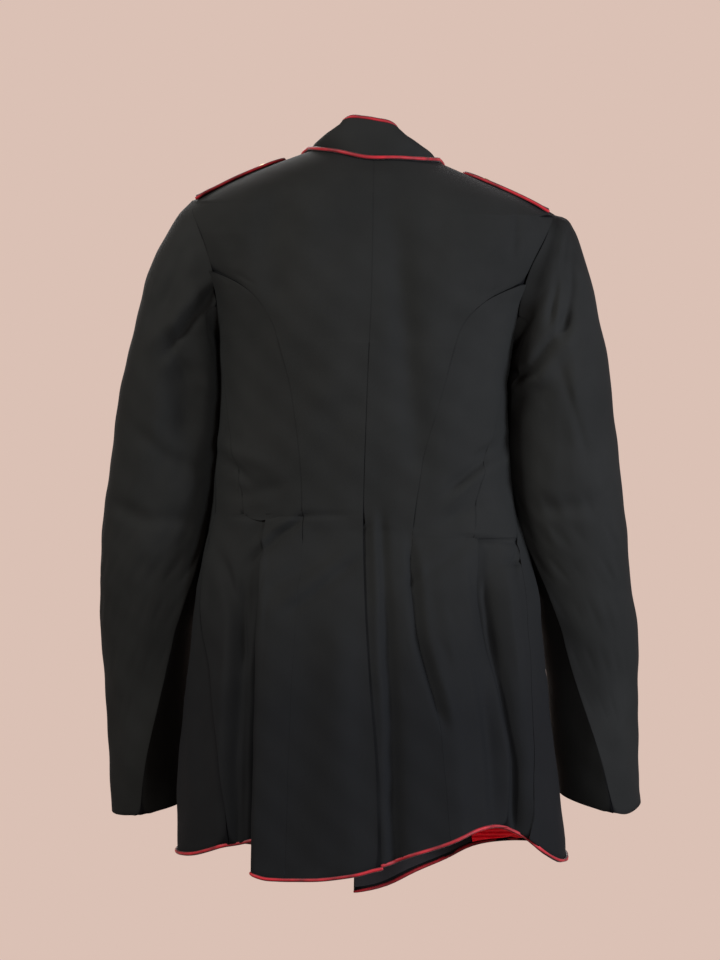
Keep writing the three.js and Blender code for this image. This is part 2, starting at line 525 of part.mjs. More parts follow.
function makeBody(spec) {
  const { side, label, waist } = spec;
  const princess = seam(spec.princess);
  const sideBodyLine = curveThrough(spec.sideBody, 'drop');
  const sideBody = (drop) => sideBodyLine(drop).turn;
  const pleat = seam(spec.pleat);
  const sideSeam = seam(spec.sideSeam);
  const hemOnBack = (across) => hemBack(across).drop;
  const hemOnSide = (across, turn) => hemSides(turn).drop;

  const alongArmhole = shoulderThenArmhole(side);
  const backEdge = (drop) => (drop <= PRINCESS_START ? alongArmhole(drop) : princess(drop));
  // The right back runs on under the left one below the top of the vent, and lies inside it there
  const vent = (drop) => {
    if (side > 0 || drop < VENT_TOP) return centreBack(drop) + side * EDGE_SHIFT;
    return seam(CENTRE_BACK, UNDERLAP)(drop);
  };
  const ventSink = (across, drop) => {
    if (side > 0 || drop < VENT_SINK_START) return 0;
    const edge = curveThrough(CENTRE_BACK, 'drop')(drop).across;
    const depth = (WALL + SEAM + LAP_ROOM) * smooth(across, edge - 22, edge - 3);
    return depth * smooth(drop, VENT_SINK_START, VENT_TOP - 3);
  };
  bodyPanel(`back_${label}`, {
    firstRow: NECK_DROP, lastRow: HEM_LEVEL, columns: BACK_COLUMNS,
    edgeA: vent, edgeB: (drop) => backEdge(drop) - side * EDGE_SHIFT, hem: hemOnBack, sink: ventSink,
  });
  const tipRoom = (drop) => TIP_CLEARANCE * (1 - smooth(drop, PRINCESS_START, TIP_END));
  const sideBackOuter = (drop) => (drop <= SIDE_BODY_START ? alongArmhole(drop) : sideBody(drop));
  bodyPanel(`side_back_${label}`, {
    firstRow: PRINCESS_START, lastRow: waist, columns: SIDE_COLUMNS, topGap: TIP_GAP,
    edgeA: (drop) => backEdge(drop) + side * (EDGE_SHIFT + tipRoom(drop)),
    edgeB: (drop) => sideBackOuter(drop) - side * EDGE_SHIFT,
  });

  // The front's side edge: shoulder, armhole, side-body seam, then the side seam of the skirt
  const waistTurn = sideSeam(waist);
  const armholeFoot = armhole(side, 210).turn;
  const frontSide = (drop) => {
    if (drop <= SIDE_BODY_START) return frontArmhole(side)(drop);
    if (drop > waist) return sideSeam(drop);
    return THREE.MathUtils.lerp(armholeFoot, waistTurn, smooth(drop, SIDE_BODY_START, waist + 20));
  };
  const sideRows = [SIDE_BODY_START, ...LOWER_ROWS.filter((drop) => drop <= waist)];
  bodyPanel(`side_${label}`, {
    rows: sideRows, columns: 4,
    edgeA: (drop) => sideBody(drop) + side * EDGE_SHIFT,
    edgeB: (drop) => frontSide(drop) - side * EDGE_SHIFT,
    firstEdge: (s) => armhole(side, 150 + 60 * s),
  });
  bodyPanel(`skirt_back_${label}`, {
    firstRow: waist, lastRow: HEM_LEVEL, columns: 5, topGap: 0.5,
    edgeA: (drop) => princess(drop) + side * EDGE_SHIFT, edgeB: pleat, hem: hemOnBack,
  });
  // The side skirt runs on under the pleat's edge
  const pleatLine = curveThrough(spec.pleat, 'drop');
  const pleatSink = (across, drop) => {
    const behind = side * (across - pleatLine(drop).across);
    const under = (WALL + SEAM + PLEAT_ROOM) * (1 - smooth(behind, 6, 20));
    return under + PLEAT_DEPTH * (1 - smooth(behind, 0, 24)) * smooth(drop, 410, 520);
  };
  bodyPanel(`skirt_side_${label}`, {
    firstRow: waist, lastRow: HEM_LEVEL, columns: side > 0 ? 7 : 5, topGap: 0.6,
    edgeA: seam(spec.pleat, -side * PLEAT_UNDERLAP),
    edgeB: (drop) => sideSeam(drop) - side * EDGE_SHIFT, hem: hemOnSide, sink: pleatSink,
  });

  // Each front runs past the middle; the right one lies inside the left one there
  const frontEdge = (drop) => side * (180 + Math.atan(BUTTON_STAND / bodySection(drop).front) / DEG);
  const frontSink = (across, drop, turn) => {
    if (side > 0 || Math.abs(turn) < 120) return 0;
    return (WALL + SEAM + LAP_ROOM) * smooth(across, -80, -45);
  };
  bodyPanel(`front_${label}`, {
    firstRow: NECK_DROP, lastRow: HEM_LEVEL, columns: BACK_COLUMNS, topGap: 1.8,
    edgeA: (drop) => frontSide(drop) + side * EDGE_SHIFT, edgeB: frontEdge,
    top: necklineRows, hem: hemOnSide, sink: frontSink,
  });
}

// A round cord along a line of points
function cord(name, points, radius, finish) {
  const path = new THREE.CatmullRomCurve3(points, false, 'centripetal');
  const section = new THREE.Shape();
  for (let i = 0; i < PIPING_SIDES; i += 1) {
    const angle = (i / PIPING_SIDES) * 2 * Math.PI;
    const [x, y] = [radius * Math.cos(angle), radius * Math.sin(angle)];
    if (i === 0) section.moveTo(x, y);
    else section.lineTo(x, y);
  }
  section.closePath();
  const options = { steps: points.length - 1, extrudePath: path, bevelEnabled: false };
  const geometry = new THREE.ExtrudeGeometry(section, options);
  const mesh = new THREE.Mesh(geometry, new THREE.MeshStandardMaterial(finish));
  mesh.name = name;
  jacket.add(mesh);
}

// Piping under the lower edge of some panels, from their own points
function hemPiping(name, names, room, start = Infinity) {
  const edge = [];
  for (const panel of names) {
    const { outer, inner } = panels[panel];
    const last = outer.length - 1;
    outer[last].forEach((point, c) => {
      const middle = point.clone().add(inner[last][c]).multiplyScalar(0.5);
      const previous = edge[edge.length - 1];
      if (previous && previous.middle.distanceTo(middle) < 5) return;
      edge.push({ middle, normal: point.clone().sub(inner[last][c]).normalize() });
    });
  }
  while (edge[1].middle.x > start) edge.shift();
  const [first, second] = edge;
  if (first.middle.x > start) {
    first.middle.lerp(second.middle, (first.middle.x - start) / (first.middle.x - second.middle.x));
  }
  const points = edge.map(({ middle, normal }, i) => {
    const before = edge[Math.max(i - 1, 0)].middle;
    const after = edge[Math.min(i + 1, edge.length - 1)].middle;
    const down = after.clone().sub(before).cross(normal).normalize();
    if (down.z > 0) down.negate();
    return middle.clone().addScaledVector(down, PIPING_RADIUS + SEAM + room);
  });
  cord(name, points, PIPING_RADIUS, RED_CORD);
}

// The outer form of a sleeve at an angle round it and a place along it
function sleevePoint(spec, round, at) {
  const ring = spec.rings(at);
  const place = (angle) => {
    const c = Math.cos(angle * DEG);
    const s = Math.sin(angle * DEG);
    return {
      x: (ring.outer + ring.inner) / 2 + ((ring.outer - ring.inner) / 2) * c,
      y: -ring.ahead + ring.half * s,
      drop: (ring.outerDrop + ring.innerDrop) / 2 + ((ring.outerDrop - ring.innerDrop) / 2) * c
        + ring.pitch * ring.half * s,
    };
  };
  const turned = THREE.MathUtils.euclideanModulo(round, 360);
  const spot = place(turned);
  if (turned > ring.seam && turned < ring.fore) {
    const share = (turned - ring.seam) / (ring.fore - ring.seam);
    const from = place(ring.seam);
    const to = place(ring.fore);
    for (const key of ['x', 'y', 'drop']) {
      const chord = from[key] + (to[key] - from[key]) * share;
      spot[key] += (chord - spot[key]) * ring.flat;
    }
  }
  let depth = 0;
  for (const fold of spec.folds) {
    const away = (at - fold.at) / fold.run;
    if (Math.abs(away) > 2.5) continue;
    const middle = fold.turn + fold.slant * (at - fold.at);
    const offset = THREE.MathUtils.euclideanModulo(turned - middle + 180, 360) - 180;
    depth += fold.depth * Math.exp(-((offset / fold.spread) ** 2) - away ** 2);
  }
  const beside = THREE.MathUtils.euclideanModulo(turned - ring.seam + 180, 360) - 180;
  depth += HIND_RIDGE * Math.exp(-((beside / 10) ** 2)) * smooth(at, 7, 9);
  spot.x += depth * Math.cos(turned * DEG);
  spot.y += depth * Math.sin(turned * DEG);
  const x = spec.side * spot.x;
  const point = new THREE.Vector3(x, spot.y, lean(x, spot.drop) - spot.drop);
  if (at >= 1) return point;
  const foot = armhole(spec.side, turned);
  const start = bodyPoint(foot.turn, foot.drop).addScaledVector(bodyNormal(foot.turn, foot.drop), SEAM + 0.1);
  return start.lerp(point, smooth(at, -0.4, 1) * (at > 0 ? 1 : 0));
}

function sleevePanel(name, spec, from, to, columns) {
  const outer = [];
  const inner = [];
  const surface = (round, at) => sleevePoint(spec, round, Math.max(at, 0));
  for (const at of SLEEVE_STOPS) {
    const ring = spec.rings(at);
    const [a, b] = [from(ring), to(ring)];
    const centre = new THREE.Vector3(spec.side * (ring.outer + ring.inner) / 2, -ring.ahead, 0);
    const outerRow = [];
    const innerRow = [];
    for (let c = 0; c <= columns; c += 1) {
      const round = a + ((b - a) * c) / columns;
      const point = surface(round, at);
      const normal = surfaceNormal(surface, round, at, 4, 0.12);
      const out = point.clone().sub(centre);
      out.z = -(ring.outerDrop - ring.innerDrop) * Math.cos(round * DEG);
      if (normal.dot(out) < 0) normal.negate();
      outerRow.push(point);
      innerRow.push(point.clone().addScaledVector(normal, -WALL));
    }
    outer.push(outerRow);
    inner.push(innerRow);
  }
  jacket.add(clothWall(name, outer, inner, WOOL));
}

function makeSleeve(spec) {
  const sleeve = { side: spec.side, folds: spec.folds, rings: curveThrough(spec.sleeve, 'at') };
  const gap = SLEEVE_SEAM_TURN;
  const topFrom = (ring) => ring.seam - gap;
  const topTo = (ring) => ring.fore - 360 + gap;
  sleevePanel(`top_sleeve_${spec.label}`, sleeve, topFrom, topTo, TOP_SLEEVE_COLUMNS);
  const underFrom = (ring) => ring.seam + gap;
  const underTo = (ring) => ring.fore - gap;
  sleevePanel(`under_sleeve_${spec.label}`, sleeve, underFrom, underTo, UNDER_SLEEVE_COLUMNS);
}

// Stand collar between the neckline and its rim
const collarRim = curveThrough(COLLAR_RIM, 'turn');
function collarPoint(turn, height) {
  const drop = neckDrop(turn);
  const base = bodyPoint(turn, drop).addScaledVector(bodyNormal(turn, drop), COLLAR_LIFT);
  const rim = collarRim(Math.abs(turn));
  const x = Math.sign(turn) * rim.across;
  const top = new THREE.Vector3(x, rim.back, rim.rise + RIM_LEAN * lean(x, 0));
  const swell = rim.bulge * 4 * height * (1 - height);
  const out = new THREE.Vector3(Math.sin(turn * DEG), Math.cos(turn * DEG), 0.9).normalize();
  return base.lerp(top, height).addScaledVector(out, swell);
}

function collarNormal(turn, height) {
  const normal = surfaceNormal(collarPoint, turn, height, 2, 0.06);
  const out = new THREE.Vector3(Math.sin(turn * DEG), Math.cos(turn * DEG), 0.2);
  return normal.dot(out) < 0 ? normal.negate() : normal;
}

function makeCollar() {
  const outer = [];
  const inner = [];
  const rim = [];
  const neck = [];
  const end = COLLAR_RIM[COLLAR_RIM.length - 1].turn;
  for (let level = 0; level <= COLLAR_LEVELS; level += 1) {
    const outerRow = [];
    const innerRow = [];
    for (let i = 0; i <= COLLAR_STEPS; i += 1) {
      const turn = -end + (2 * end * i) / COLLAR_STEPS;
      const point = collarPoint(turn, level / COLLAR_LEVELS);
      outerRow.push(point);
      innerRow.push(point.clone().addScaledVector(collarNormal(turn, level / COLLAR_LEVELS), -COLLAR_WALL));
    }
    outer.push(outerRow);
    inner.push(innerRow);
  }
  for (let i = 0; i <= COLLAR_STEPS; i += 1) {
    const turn = -end + (2 * end * i) / COLLAR_STEPS;
    const edge = outer[COLLAR_LEVELS][i].clone().add(inner[COLLAR_LEVELS][i]).multiplyScalar(0.5);
    const below = outer[COLLAR_LEVELS - 1][i].clone().add(inner[COLLAR_LEVELS - 1][i]).multiplyScalar(0.5);
    const rising = edge.clone().sub(below).normalize();
    rim.push(edge.clone().addScaledVector(rising, PIPING_RADIUS + SEAM + PIPING_ROOM));
    // The neck piping lies in the corner between the collar's foot and the body
    const body = bodyNormal(turn, neckDrop(turn));
    const stand = collarNormal(turn, 0);
    const facing = Math.min(body.dot(stand), 0.9);
    const fromStand = PIPING_RADIUS + 0.7;
    const fromBody = PIPING_RADIUS + 0.3;
    const share = 1 - facing * facing;
    neck.push(collarPoint(turn, 0)
      .addScaledVector(stand, (fromStand - facing * fromBody) / share)
      .addScaledVector(body, (fromBody - facing * fromStand) / share));
  }
  jacket.add(clothWall('collar', outer, inner, WOOL));
  cord('collar_piping', rim, PIPING_RADIUS, RED_CORD);
  cord('neck_piping', neck, PIPING_RADIUS, RED_CORD);
}

// Height of the shoulder under a spot of the strap
function shoulderHeight(x, y) {
  let low = -4;
  let high = 90;
  for (let i = 0; i < 30; i += 1) {
    const drop = (low + high) / 2;
    const section = bodySection(drop);
    const halfWidth = x >= 0 ? section.left : section.right;
    const halfDepth = y >= 0 ? section.back : section.front;
    const inside = Math.abs(x / halfWidth) ** section.square + Math.abs(y / halfDepth) ** section.square < 1;
    if (inside) high = drop;
    else low = drop;
  }
  return lean(x, high) - high;
}

function makeStrap(spec) {
  const { side, from, to, half, shift, ahead } = spec.strap;
  const length = from - to;
  const edge = [];
  const layer = (lift) => {
    const rows = [];
    for (let i = 0; i <= STRAP_STEPS; i += 1) {
      const along = (length * i) / STRAP_STEPS;
      const intoPoint = Math.max(0, (along - (length - STRAP_POINT)) / STRAP_POINT);
      const width = half * Math.sqrt(1 - 0.8 * intoPoint * intoPoint);
      const row = [];
      for (let c = 0; c <= STRAP_COLUMNS; c += 1) {
        const y = shift - (ahead * along) / length + width * (1 - (2 * c) / STRAP_COLUMNS);
        const x = side * (from - along);
        row.push(new THREE.Vector3(x, y, shoulderHeight(x, y) + lift));
      }
      rows.push(row);
    }
    return rows;
  };
  const under = layer(STRAP_LIFT);
  const over = layer(STRAP_LIFT + STRAP_THICKNESS);
  jacket.add(clothWall(`shoulder_strap_${spec.label}`, over, under, WOOL));
  const between = (point, r, c) => point.clone().add(under[r][c]).multiplyScalar(0.5);
  const middle = over.map((row, r) => row.map((point, c) => between(point, r, c)));
  const out = STRAP_PIPING_RADIUS + SEAM + PIPING_ROOM;
  middle.forEach((row) => edge.push(row[0]));
  middle[STRAP_STEPS].slice(1, -1).forEach((point) => edge.push(point));
  middle.slice(1).reverse().forEach((row) => edge.push(row[STRAP_COLUMNS]));
  const piping = edge.map((point, i) => {
    const run = edge[Math.min(i + 1, edge.length - 1)].clone().sub(edge[Math.max(i - 1, 0)]);
    const away = new THREE.Vector3(-run.y, run.x, 0).normalize();
    if (away.dot(point.clone().sub(middle[STRAP_STEPS - 3][STRAP_COLUMNS / 2])) < 0) away.negate();
    const spot = point.clone().addScaledVector(away, out);
    return spot.setZ(shoulderHeight(spot.x, spot.y) + STRAP_LIFT + STRAP_PIPING_RADIUS + STRAP_PIPING_RISE);
  });
  cord(`strap_piping_${spec.label}`, piping, STRAP_PIPING_RADIUS, RED_CORD);
  const x = side * (to + STRAP_BUTTON_INSET);
  const y = shift - ahead * (1 - STRAP_BUTTON_INSET / length);
  const fallAcross = shoulderHeight(x - SLOPE_STEP, y) - shoulderHeight(x + SLOPE_STEP, y);
  const fallBack = shoulderHeight(x, y - SLOPE_STEP) - shoulderHeight(x, y + SLOPE_STEP);
  const facing = new THREE.Vector3(fallAcross, fallBack, 2 * SLOPE_STEP).normalize();
  const seat = new THREE.Vector3(x, y, shoulderHeight(x, y) + STRAP_LIFT + STRAP_THICKNESS);
  seat.addScaledVector(facing, STRAP_BUTTON_LIFT);
  button(`strap_button_${spec.label}`, seat, facing, STRAP_BUTTON_SIZE);
}

function button(name, seat, facing, size) {
  const profile = BUTTON_PROFILE.map(([radius, height]) => new THREE.Vector2(radius * size, height * size));
  const geometry = new THREE.LatheGeometry(profile, BUTTON_SEGMENTS);
  const mesh = new THREE.Mesh(geometry, new THREE.MeshStandardMaterial(BRASS));
  mesh.name = name;
  mesh.position.copy(seat);
  mesh.quaternion.setFromUnitVectors(new THREE.Vector3(0, 1, 0), facing);
  jacket.add(mesh);
}

for (const spec of SIDES) {
  makeBody(spec);
  makeSleeve(spec);
  makeStrap(spec);
  const backPanels = [`back_${spec.label}`, `skirt_back_${spec.label}`];
  const sidePanels = [`skirt_side_${spec.label}`, `front_${spec.label}`];
  const start = spec.side > 0 ? Infinity : VENT_HEM_START;
  hemPiping(`hem_piping_back_${spec.label}`, backPanels, BACK_HEM_ROOM, start);
  hemPiping(`hem_piping_side_${spec.label}`, sidePanels, PIPING_ROOM);
}
makeCollar();
for (const [index, drop] of FRONT_BUTTON_DROPS.entries()) {
  const normal = bodyNormal(180, drop);
  const seat = bodyPoint(180, drop).addScaledVector(normal, SEAM + 0.1);
  button(`front_button_${index + 1}`, seat, normal, FRONT_BUTTON_SIZE);
}

// A thin piece that lies on the inside of a panel, made from some of its points, moved in
function insidePiece(name, panel, firstRow, firstColumn, lastColumn, finish) {
  const rows = panels[panel].inner.length;
  const layer = (depth) => {
    const grid = [];
    for (let r = rows - firstRow; r < rows; r += 1) {
      const row = [];
      for (let c = firstColumn; c <= lastColumn; c += 1) {
        const inner = panels[panel].inner[r][c].clone();
        const inwards = inner.clone().sub(panels[panel].outer[r][c]).normalize();
        if (r === rows - 1) inner.lerp(panels[panel].inner[r - 1][c], INSIDE_MARGIN);
        row.push(inner.addScaledVector(inwards, depth));
      }
      grid.push(row);
    }
    return grid;
  };
  const near = layer(SEAM + 0.1);
  const far = layer(SEAM + 0.1 + THIN);
  const gap = INSIDE_GAP;
  for (const grid of [near, far]) {
    for (const row of grid) row[row.length - 1].lerp(row[row.length - 2], gap);
  }
  jacket.add(clothWall(name, near, far, finish));
}
insidePiece('lining_right', 'front_right', INSIDE_ROWS, LINING_EDGE, FACING_EDGE, LINING);
insidePiece('facing_right', 'front_right', INSIDE_ROWS, FACING_EDGE, BACK_COLUMNS, WOOL);

export default jacket;
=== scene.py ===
# Military dress jacket in near-black wool with red piping, hollow and upright, seen from behind.
# Blender 4.5. Metres, +Z up; the front faces -Y and the wearer's left is +X.
import math

import bmesh
import bpy
import numpy as np
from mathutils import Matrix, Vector
from mathutils.bvhtree import BVHTree
from mathutils.kdtree import KDTree


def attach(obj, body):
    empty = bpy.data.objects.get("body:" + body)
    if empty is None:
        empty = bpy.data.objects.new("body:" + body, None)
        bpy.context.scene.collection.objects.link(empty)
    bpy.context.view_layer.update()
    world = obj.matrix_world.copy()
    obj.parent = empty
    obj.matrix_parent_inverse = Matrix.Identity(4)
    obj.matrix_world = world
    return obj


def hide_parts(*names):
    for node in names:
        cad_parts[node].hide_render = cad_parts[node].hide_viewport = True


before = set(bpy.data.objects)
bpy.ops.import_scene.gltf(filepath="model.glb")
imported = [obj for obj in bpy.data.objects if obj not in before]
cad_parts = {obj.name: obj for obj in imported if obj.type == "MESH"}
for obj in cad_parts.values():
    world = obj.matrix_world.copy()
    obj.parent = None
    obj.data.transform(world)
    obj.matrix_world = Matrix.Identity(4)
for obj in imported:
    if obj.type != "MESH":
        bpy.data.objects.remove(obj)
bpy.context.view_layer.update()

# Wool cloth
# The shell is a fine worsted twill, dyed near black and pressed. It gives the eye a smooth, matt
# surface with a faint diagonal line, a soft sheen on lit folds and a slightly bluish black.
WOOL_BLACK = "#101111"
WOOL_WORN = "#141515"
# painted shade: the colour of the groove along each seam
WOOL_SEAM_SHADE = "#020203"
FACING_BLACK_PAINTED_LIT = "#1C1C1E"      # painted light: the shell's own cloth, painted greyer as though better lit, as it looks in the picture
FACING_WORN_PAINTED_LIT = "#222225"
WOOL_DEEP_SHADE = "#07080A"
SHADE_BELOW = -0.36            # height where the skirts start to be painted a deeper black, as shade
SHADE_OVER = 0.22              # and the drop over which they do
SHADE_MOST = 0.75
NEVER_SHADED = -9.0             # a height below the whole jacket
WOOL_GLOSS = 0.03
WOOL_SHEEN = "#7C8796"
WOOL_SHEEN_WEIGHT = 0.012
WOOL_ROUGHNESS = 0.78
TWILL_SPACING = 0.0016        # real ridges lie about 0.5 mm apart; drawn coarser so that they show
TWILL_HEIGHT = 0.00012


def linear(hex_colour):
    channels = [int(hex_colour[i:i + 2], 16) / 255 for i in (1, 3, 5)]
    return tuple(c / 12.92 if c <= 0.04045 else ((c + 0.055) / 1.055) ** 2.4 for c in channels) + (1.0,)


def add_node(tree, kind, settings=None, links=None):
    """Adds a node: settings are properties or input values by name, links are sockets by input name."""
    node = tree.nodes.new(kind)
    for name, value in (settings or {}).items():
        if name in node.inputs and not hasattr(type(node), name):
            node.inputs[name].default_value = value
        else:
            setattr(node, name, value)
    for name, socket in (links or {}).items():
        tree.links.new(socket, node.inputs[name])
    return node


def new_material(name):
    material = bpy.data.materials.new(name)
    material.use_nodes = True
    tree = material.node_tree
    tree.nodes.clear()
    output = tree.nodes.new("ShaderNodeOutputMaterial")
    shader = tree.nodes.new("ShaderNodeBsdfPrincipled")
    tree.links.new(shader.outputs["BSDF"], output.inputs["Surface"])
    return material, tree, shader


def worsted_twill(name, black, worn, lean, shade_below):
    """lean turns the twill line, so that neighbouring panels can be cut on different grains.

    Below the height given last, in metres, the cloth is painted a deeper black: painted shade, as the skirts
    look.
    """
    # Worsted wool: smooth and matt, with a fine diagonal line and slow, faint wear
    material, tree, shader = new_material(name)
    place = add_node(tree, "ShaderNodeTexCoord").outputs["Object"]
    turned = add_node(tree, "ShaderNodeMapping", {"Rotation": (0.0, math.radians(lean), 0.0)},
                      {"Vector": place})
    twill = add_node(tree, "ShaderNodeTexWave", {
        "wave_type": "BANDS", "bands_direction": "X", "Scale": math.pi / 10 / TWILL_SPACING,
        "Distortion": 0.6, "Detail": 2.0, "Detail Scale": 4.0}, {"Vector": turned.outputs["Vector"]})
    slub = add_node(tree, "ShaderNodeTexNoise", {"Scale": 420.0, "Detail": 3.0, "Roughness": 0.6},
                    {"Vector": place})
    patch = add_node(tree, "ShaderNodeTexNoise", {"Scale": 9.0, "Detail": 4.0, "Roughness": 0.55},
                     {"Vector": place})
    fade = add_node(tree, "ShaderNodeMapRange", {"From Min": 0.35, "From Max": 0.7},
                    {"Value": patch.outputs["Fac"]})
    colour = add_node(tree, "ShaderNodeMix", {"data_type": "RGBA"})
    tree.links.new(fade.outputs["Result"], colour.inputs["Factor"])
    colour.inputs["A"].default_value = linear(black)
    colour.inputs["B"].default_value = linear(worn)
    height = add_node(tree, "ShaderNodeMath", {"operation": "MULTIPLY_ADD"})
    tree.links.new(twill.outputs["Fac"], height.inputs[0])
    height.inputs[1].default_value = 0.6
    tree.links.new(slub.outputs["Fac"], height.inputs[2])
    bump = add_node(tree, "ShaderNodeBump", {"Strength": 0.45, "Distance": TWILL_HEIGHT},
                    {"Height": height.outputs["Value"]})
    # painted shade: lower down, the colour is mixed towards a deeper black
    level = add_node(tree, "ShaderNodeSeparateXYZ", {}, {"Vector": place}).outputs["Z"]
    depth = add_node(tree, "ShaderNodeMapRange", {
        "From Min": shade_below, "From Max": shade_below - SHADE_OVER, "To Max": SHADE_MOST}, {"Value": level})
    body = add_node(tree, "ShaderNodeMix", {"data_type": "RGBA"})
    tree.links.new(depth.outputs["Result"], body.inputs["Factor"])
    tree.links.new(colour.outputs["Result"], body.inputs["A"])
    body.inputs["B"].default_value = linear(WOOL_DEEP_SHADE)
    # painted shade: the groove along each pressed seam is painted darker than the open cloth
    seam = add_node(tree, "ShaderNodeAttribute", {"attribute_name": "seam"})
    shade = add_node(tree, "ShaderNodeMix", {"data_type": "RGBA"})
    tree.links.new(seam.outputs["Fac"], shade.inputs["Factor"])
    tree.links.new(body.outputs["Result"], shade.inputs["A"])
    shade.inputs["B"].default_value = linear(WOOL_SEAM_SHADE)
    tree.links.new(shade.outputs["Result"], shader.inputs["Base Color"])
    tree.links.new(bump.outputs["Normal"], shader.inputs["Normal"])
    shader.inputs["Roughness"].default_value = WOOL_ROUGHNESS
    shader.inputs["Specular IOR Level"].default_value = WOOL_GLOSS
    shader.inputs["Sheen Weight"].default_value = WOOL_SHEEN_WEIGHT
    shader.inputs["Sheen Roughness"].default_value = 0.45
    shader.inputs["Sheen Tint"].default_value = linear(WOOL_SHEEN)
    return material


wool = worsted_twill("worsted wool twill", WOOL_BLACK, WOOL_WORN, 38, SHADE_BELOW)
wool_cross = worsted_twill("worsted wool twill on the cross", WOOL_BLACK, WOOL_WORN, 62, SHADE_BELOW)
# painted light: the facing is painted greyer than the shell cloth it is cut from
wool_facing_painted_lit = worsted_twill("worsted wool twill of the facing painted lighter", FACING_BLACK_PAINTED_LIT, FACING_WORN_PAINTED_LIT, 52, NEVER_SHADED)
wool_sleeve = worsted_twill("worsted wool twill of the sleeves", WOOL_BLACK, WOOL_WORN, 48, NEVER_SHADED)

# Back, side bodies, fronts and skirts
# Each panel is one piece of pressed twill about 2 mm thick with its canvas. Neighbours are seamed
# edge to edge; the left half laps over the right at the vent and at the front.
CREASES_BEHIND = [
    # path across (to the wearer's left) and up, half-width and depth, all in mm
    {"path": [(97, -40), (107, -104), (97, -140)], "width": 15, "depth": -1.8},
    {"path": [(-26, -51), (-31, -144), (-43, -240), (-51, -318)], "width": 15, "depth": -1.6},
    {"path": [(60, -60), (52, -150), (40, -250)], "width": 30, "depth": 1.4},
    {"path": [(-98, -60), (-92, -120), (-96, -160)], "width": 22, "depth": 1.4},
    {"path": [(-154, -67), (-151, -96)], "width": 5, "depth": -1.4},
    {"path": [(-12, -14), (-36, -19), (-60, -20)], "width": 5, "depth": -1.6},
    {"path": [(20, -14), (50, -20), (72, -30)], "width": 6, "depth": -1.0},
    {"path": [(110, -415), (96, -402), (83, -392)], "width": 5, "depth": -2.2},
    {"path": [(113, -408), (98, -395), (86, -386)], "width": 6, "depth": 1.6},
    {"path": [(76, -474), (50, -455), (26, -436)], "width": 6, "depth": -1.7},
    {"path": [(80, -462), (54, -443), (30, -426)], "width": 8, "depth": 1.3},
    {"path": [(100, -452), (84, -441), (72, -436)], "width": 7, "depth": -1.2},
    {"path": [(160, -314), (150, -323), (137, -334)], "width": 5, "depth": -1.8},
    {"path": [(158, -302), (142, -314), (122, -322)], "width": 8, "depth": 1.3},
    {"path": [(150, -352), (128, -358), (106, -352)], "width": 7, "depth": -1.3},
    {"path": [(-143, -300), (-132, -306), (-122, -312)], "width": 4.5, "depth": -2.0},
    {"path": [(-143, -309), (-122, -322), (-96, -343)], "width": 5.5, "depth": -2.4},
    {"path": [(-143, -318), (-120, -333), (-98, -352)], "width": 6, "depth": 1.6},
    {"path": [(-146, -345), (-118, -364), (-92, -378)], "width": 7, "depth": -1.2},
    {"path": [(-86, -420), (-66, -436), (-50, -446)], "width": 6, "depth": -1.2},
    {"path": [(121, -381), (90, -381), (45, -380)], "width": 3, "depth": -1.1},
    {"path": [(-108, -404), (-130, -406), (-151, -408)], "width": 3, "depth": -1.3},
    {"path": [(-154, -372), (-155, -400), (-153, -424)], "width": 2.6, "depth": -1.8},
    {"path": [(-150, -428), (-160, -427), (-174, -426)], "width": 2.6, "depth": -2.2},
    {"path": [(173, -419), (178, -435), (182, -468)], "width": 2.8, "depth": -3.0},
    {"path": [(168, -421), (173, -438), (176, -468)], "width": 4.5, "depth": 1.6},
    {"path": [(-44, -426), (-51, -508), (-71, -577)], "width": 5, "depth": -2.6},
    {"path": [(-53, -440), (-60, -508), (-82, -577)], "width": 8, "depth": 1.8},
    {"path": [(-123, -468), (-126, -499), (-142, -580), (-151, -635), (-152, -690)],
     "width": 5, "depth": -3.2},
    {"path": [(-13, -398), (-18, -500), (-24, -600), (-27, -740)], "width": 6, "depth": -2.2},
    {"path": [(-4, -400), (-8, -500), (-13, -600), (-16, -740)], "width": 6, "depth": 1.6},
    {"path": [(112, -430), (116, -480), (121, -540), (123, -620), (124, -746)], "width": 5, "depth": 1.8},
    {"path": [(133, -470), (137, -560), (141, -640), (139, -715)], "width": 5, "depth": -2.4},
    {"path": [(146, -500), (152, -580), (155, -650), (153, -720)], "width": 7, "depth": 1.6},
    {"path": [(150, -440), (141, -470), (134, -520)], "width": 6, "depth": -2.0},
    {"path": [(60, -520), (57, -610), (54, -745)], "width": 22, "depth": -1.6},
    {"path": [(28, -520), (24, -620), (20, -740)], "width": 16, "depth": 1.4},
    {"path": [(-100, -540), (-106, -620), (-112, -700)], "width": 14, "depth": -1.6},
    {"path": [(170, -520), (178, -600), (184, -715)], "width": 10, "depth": -1.4},
]
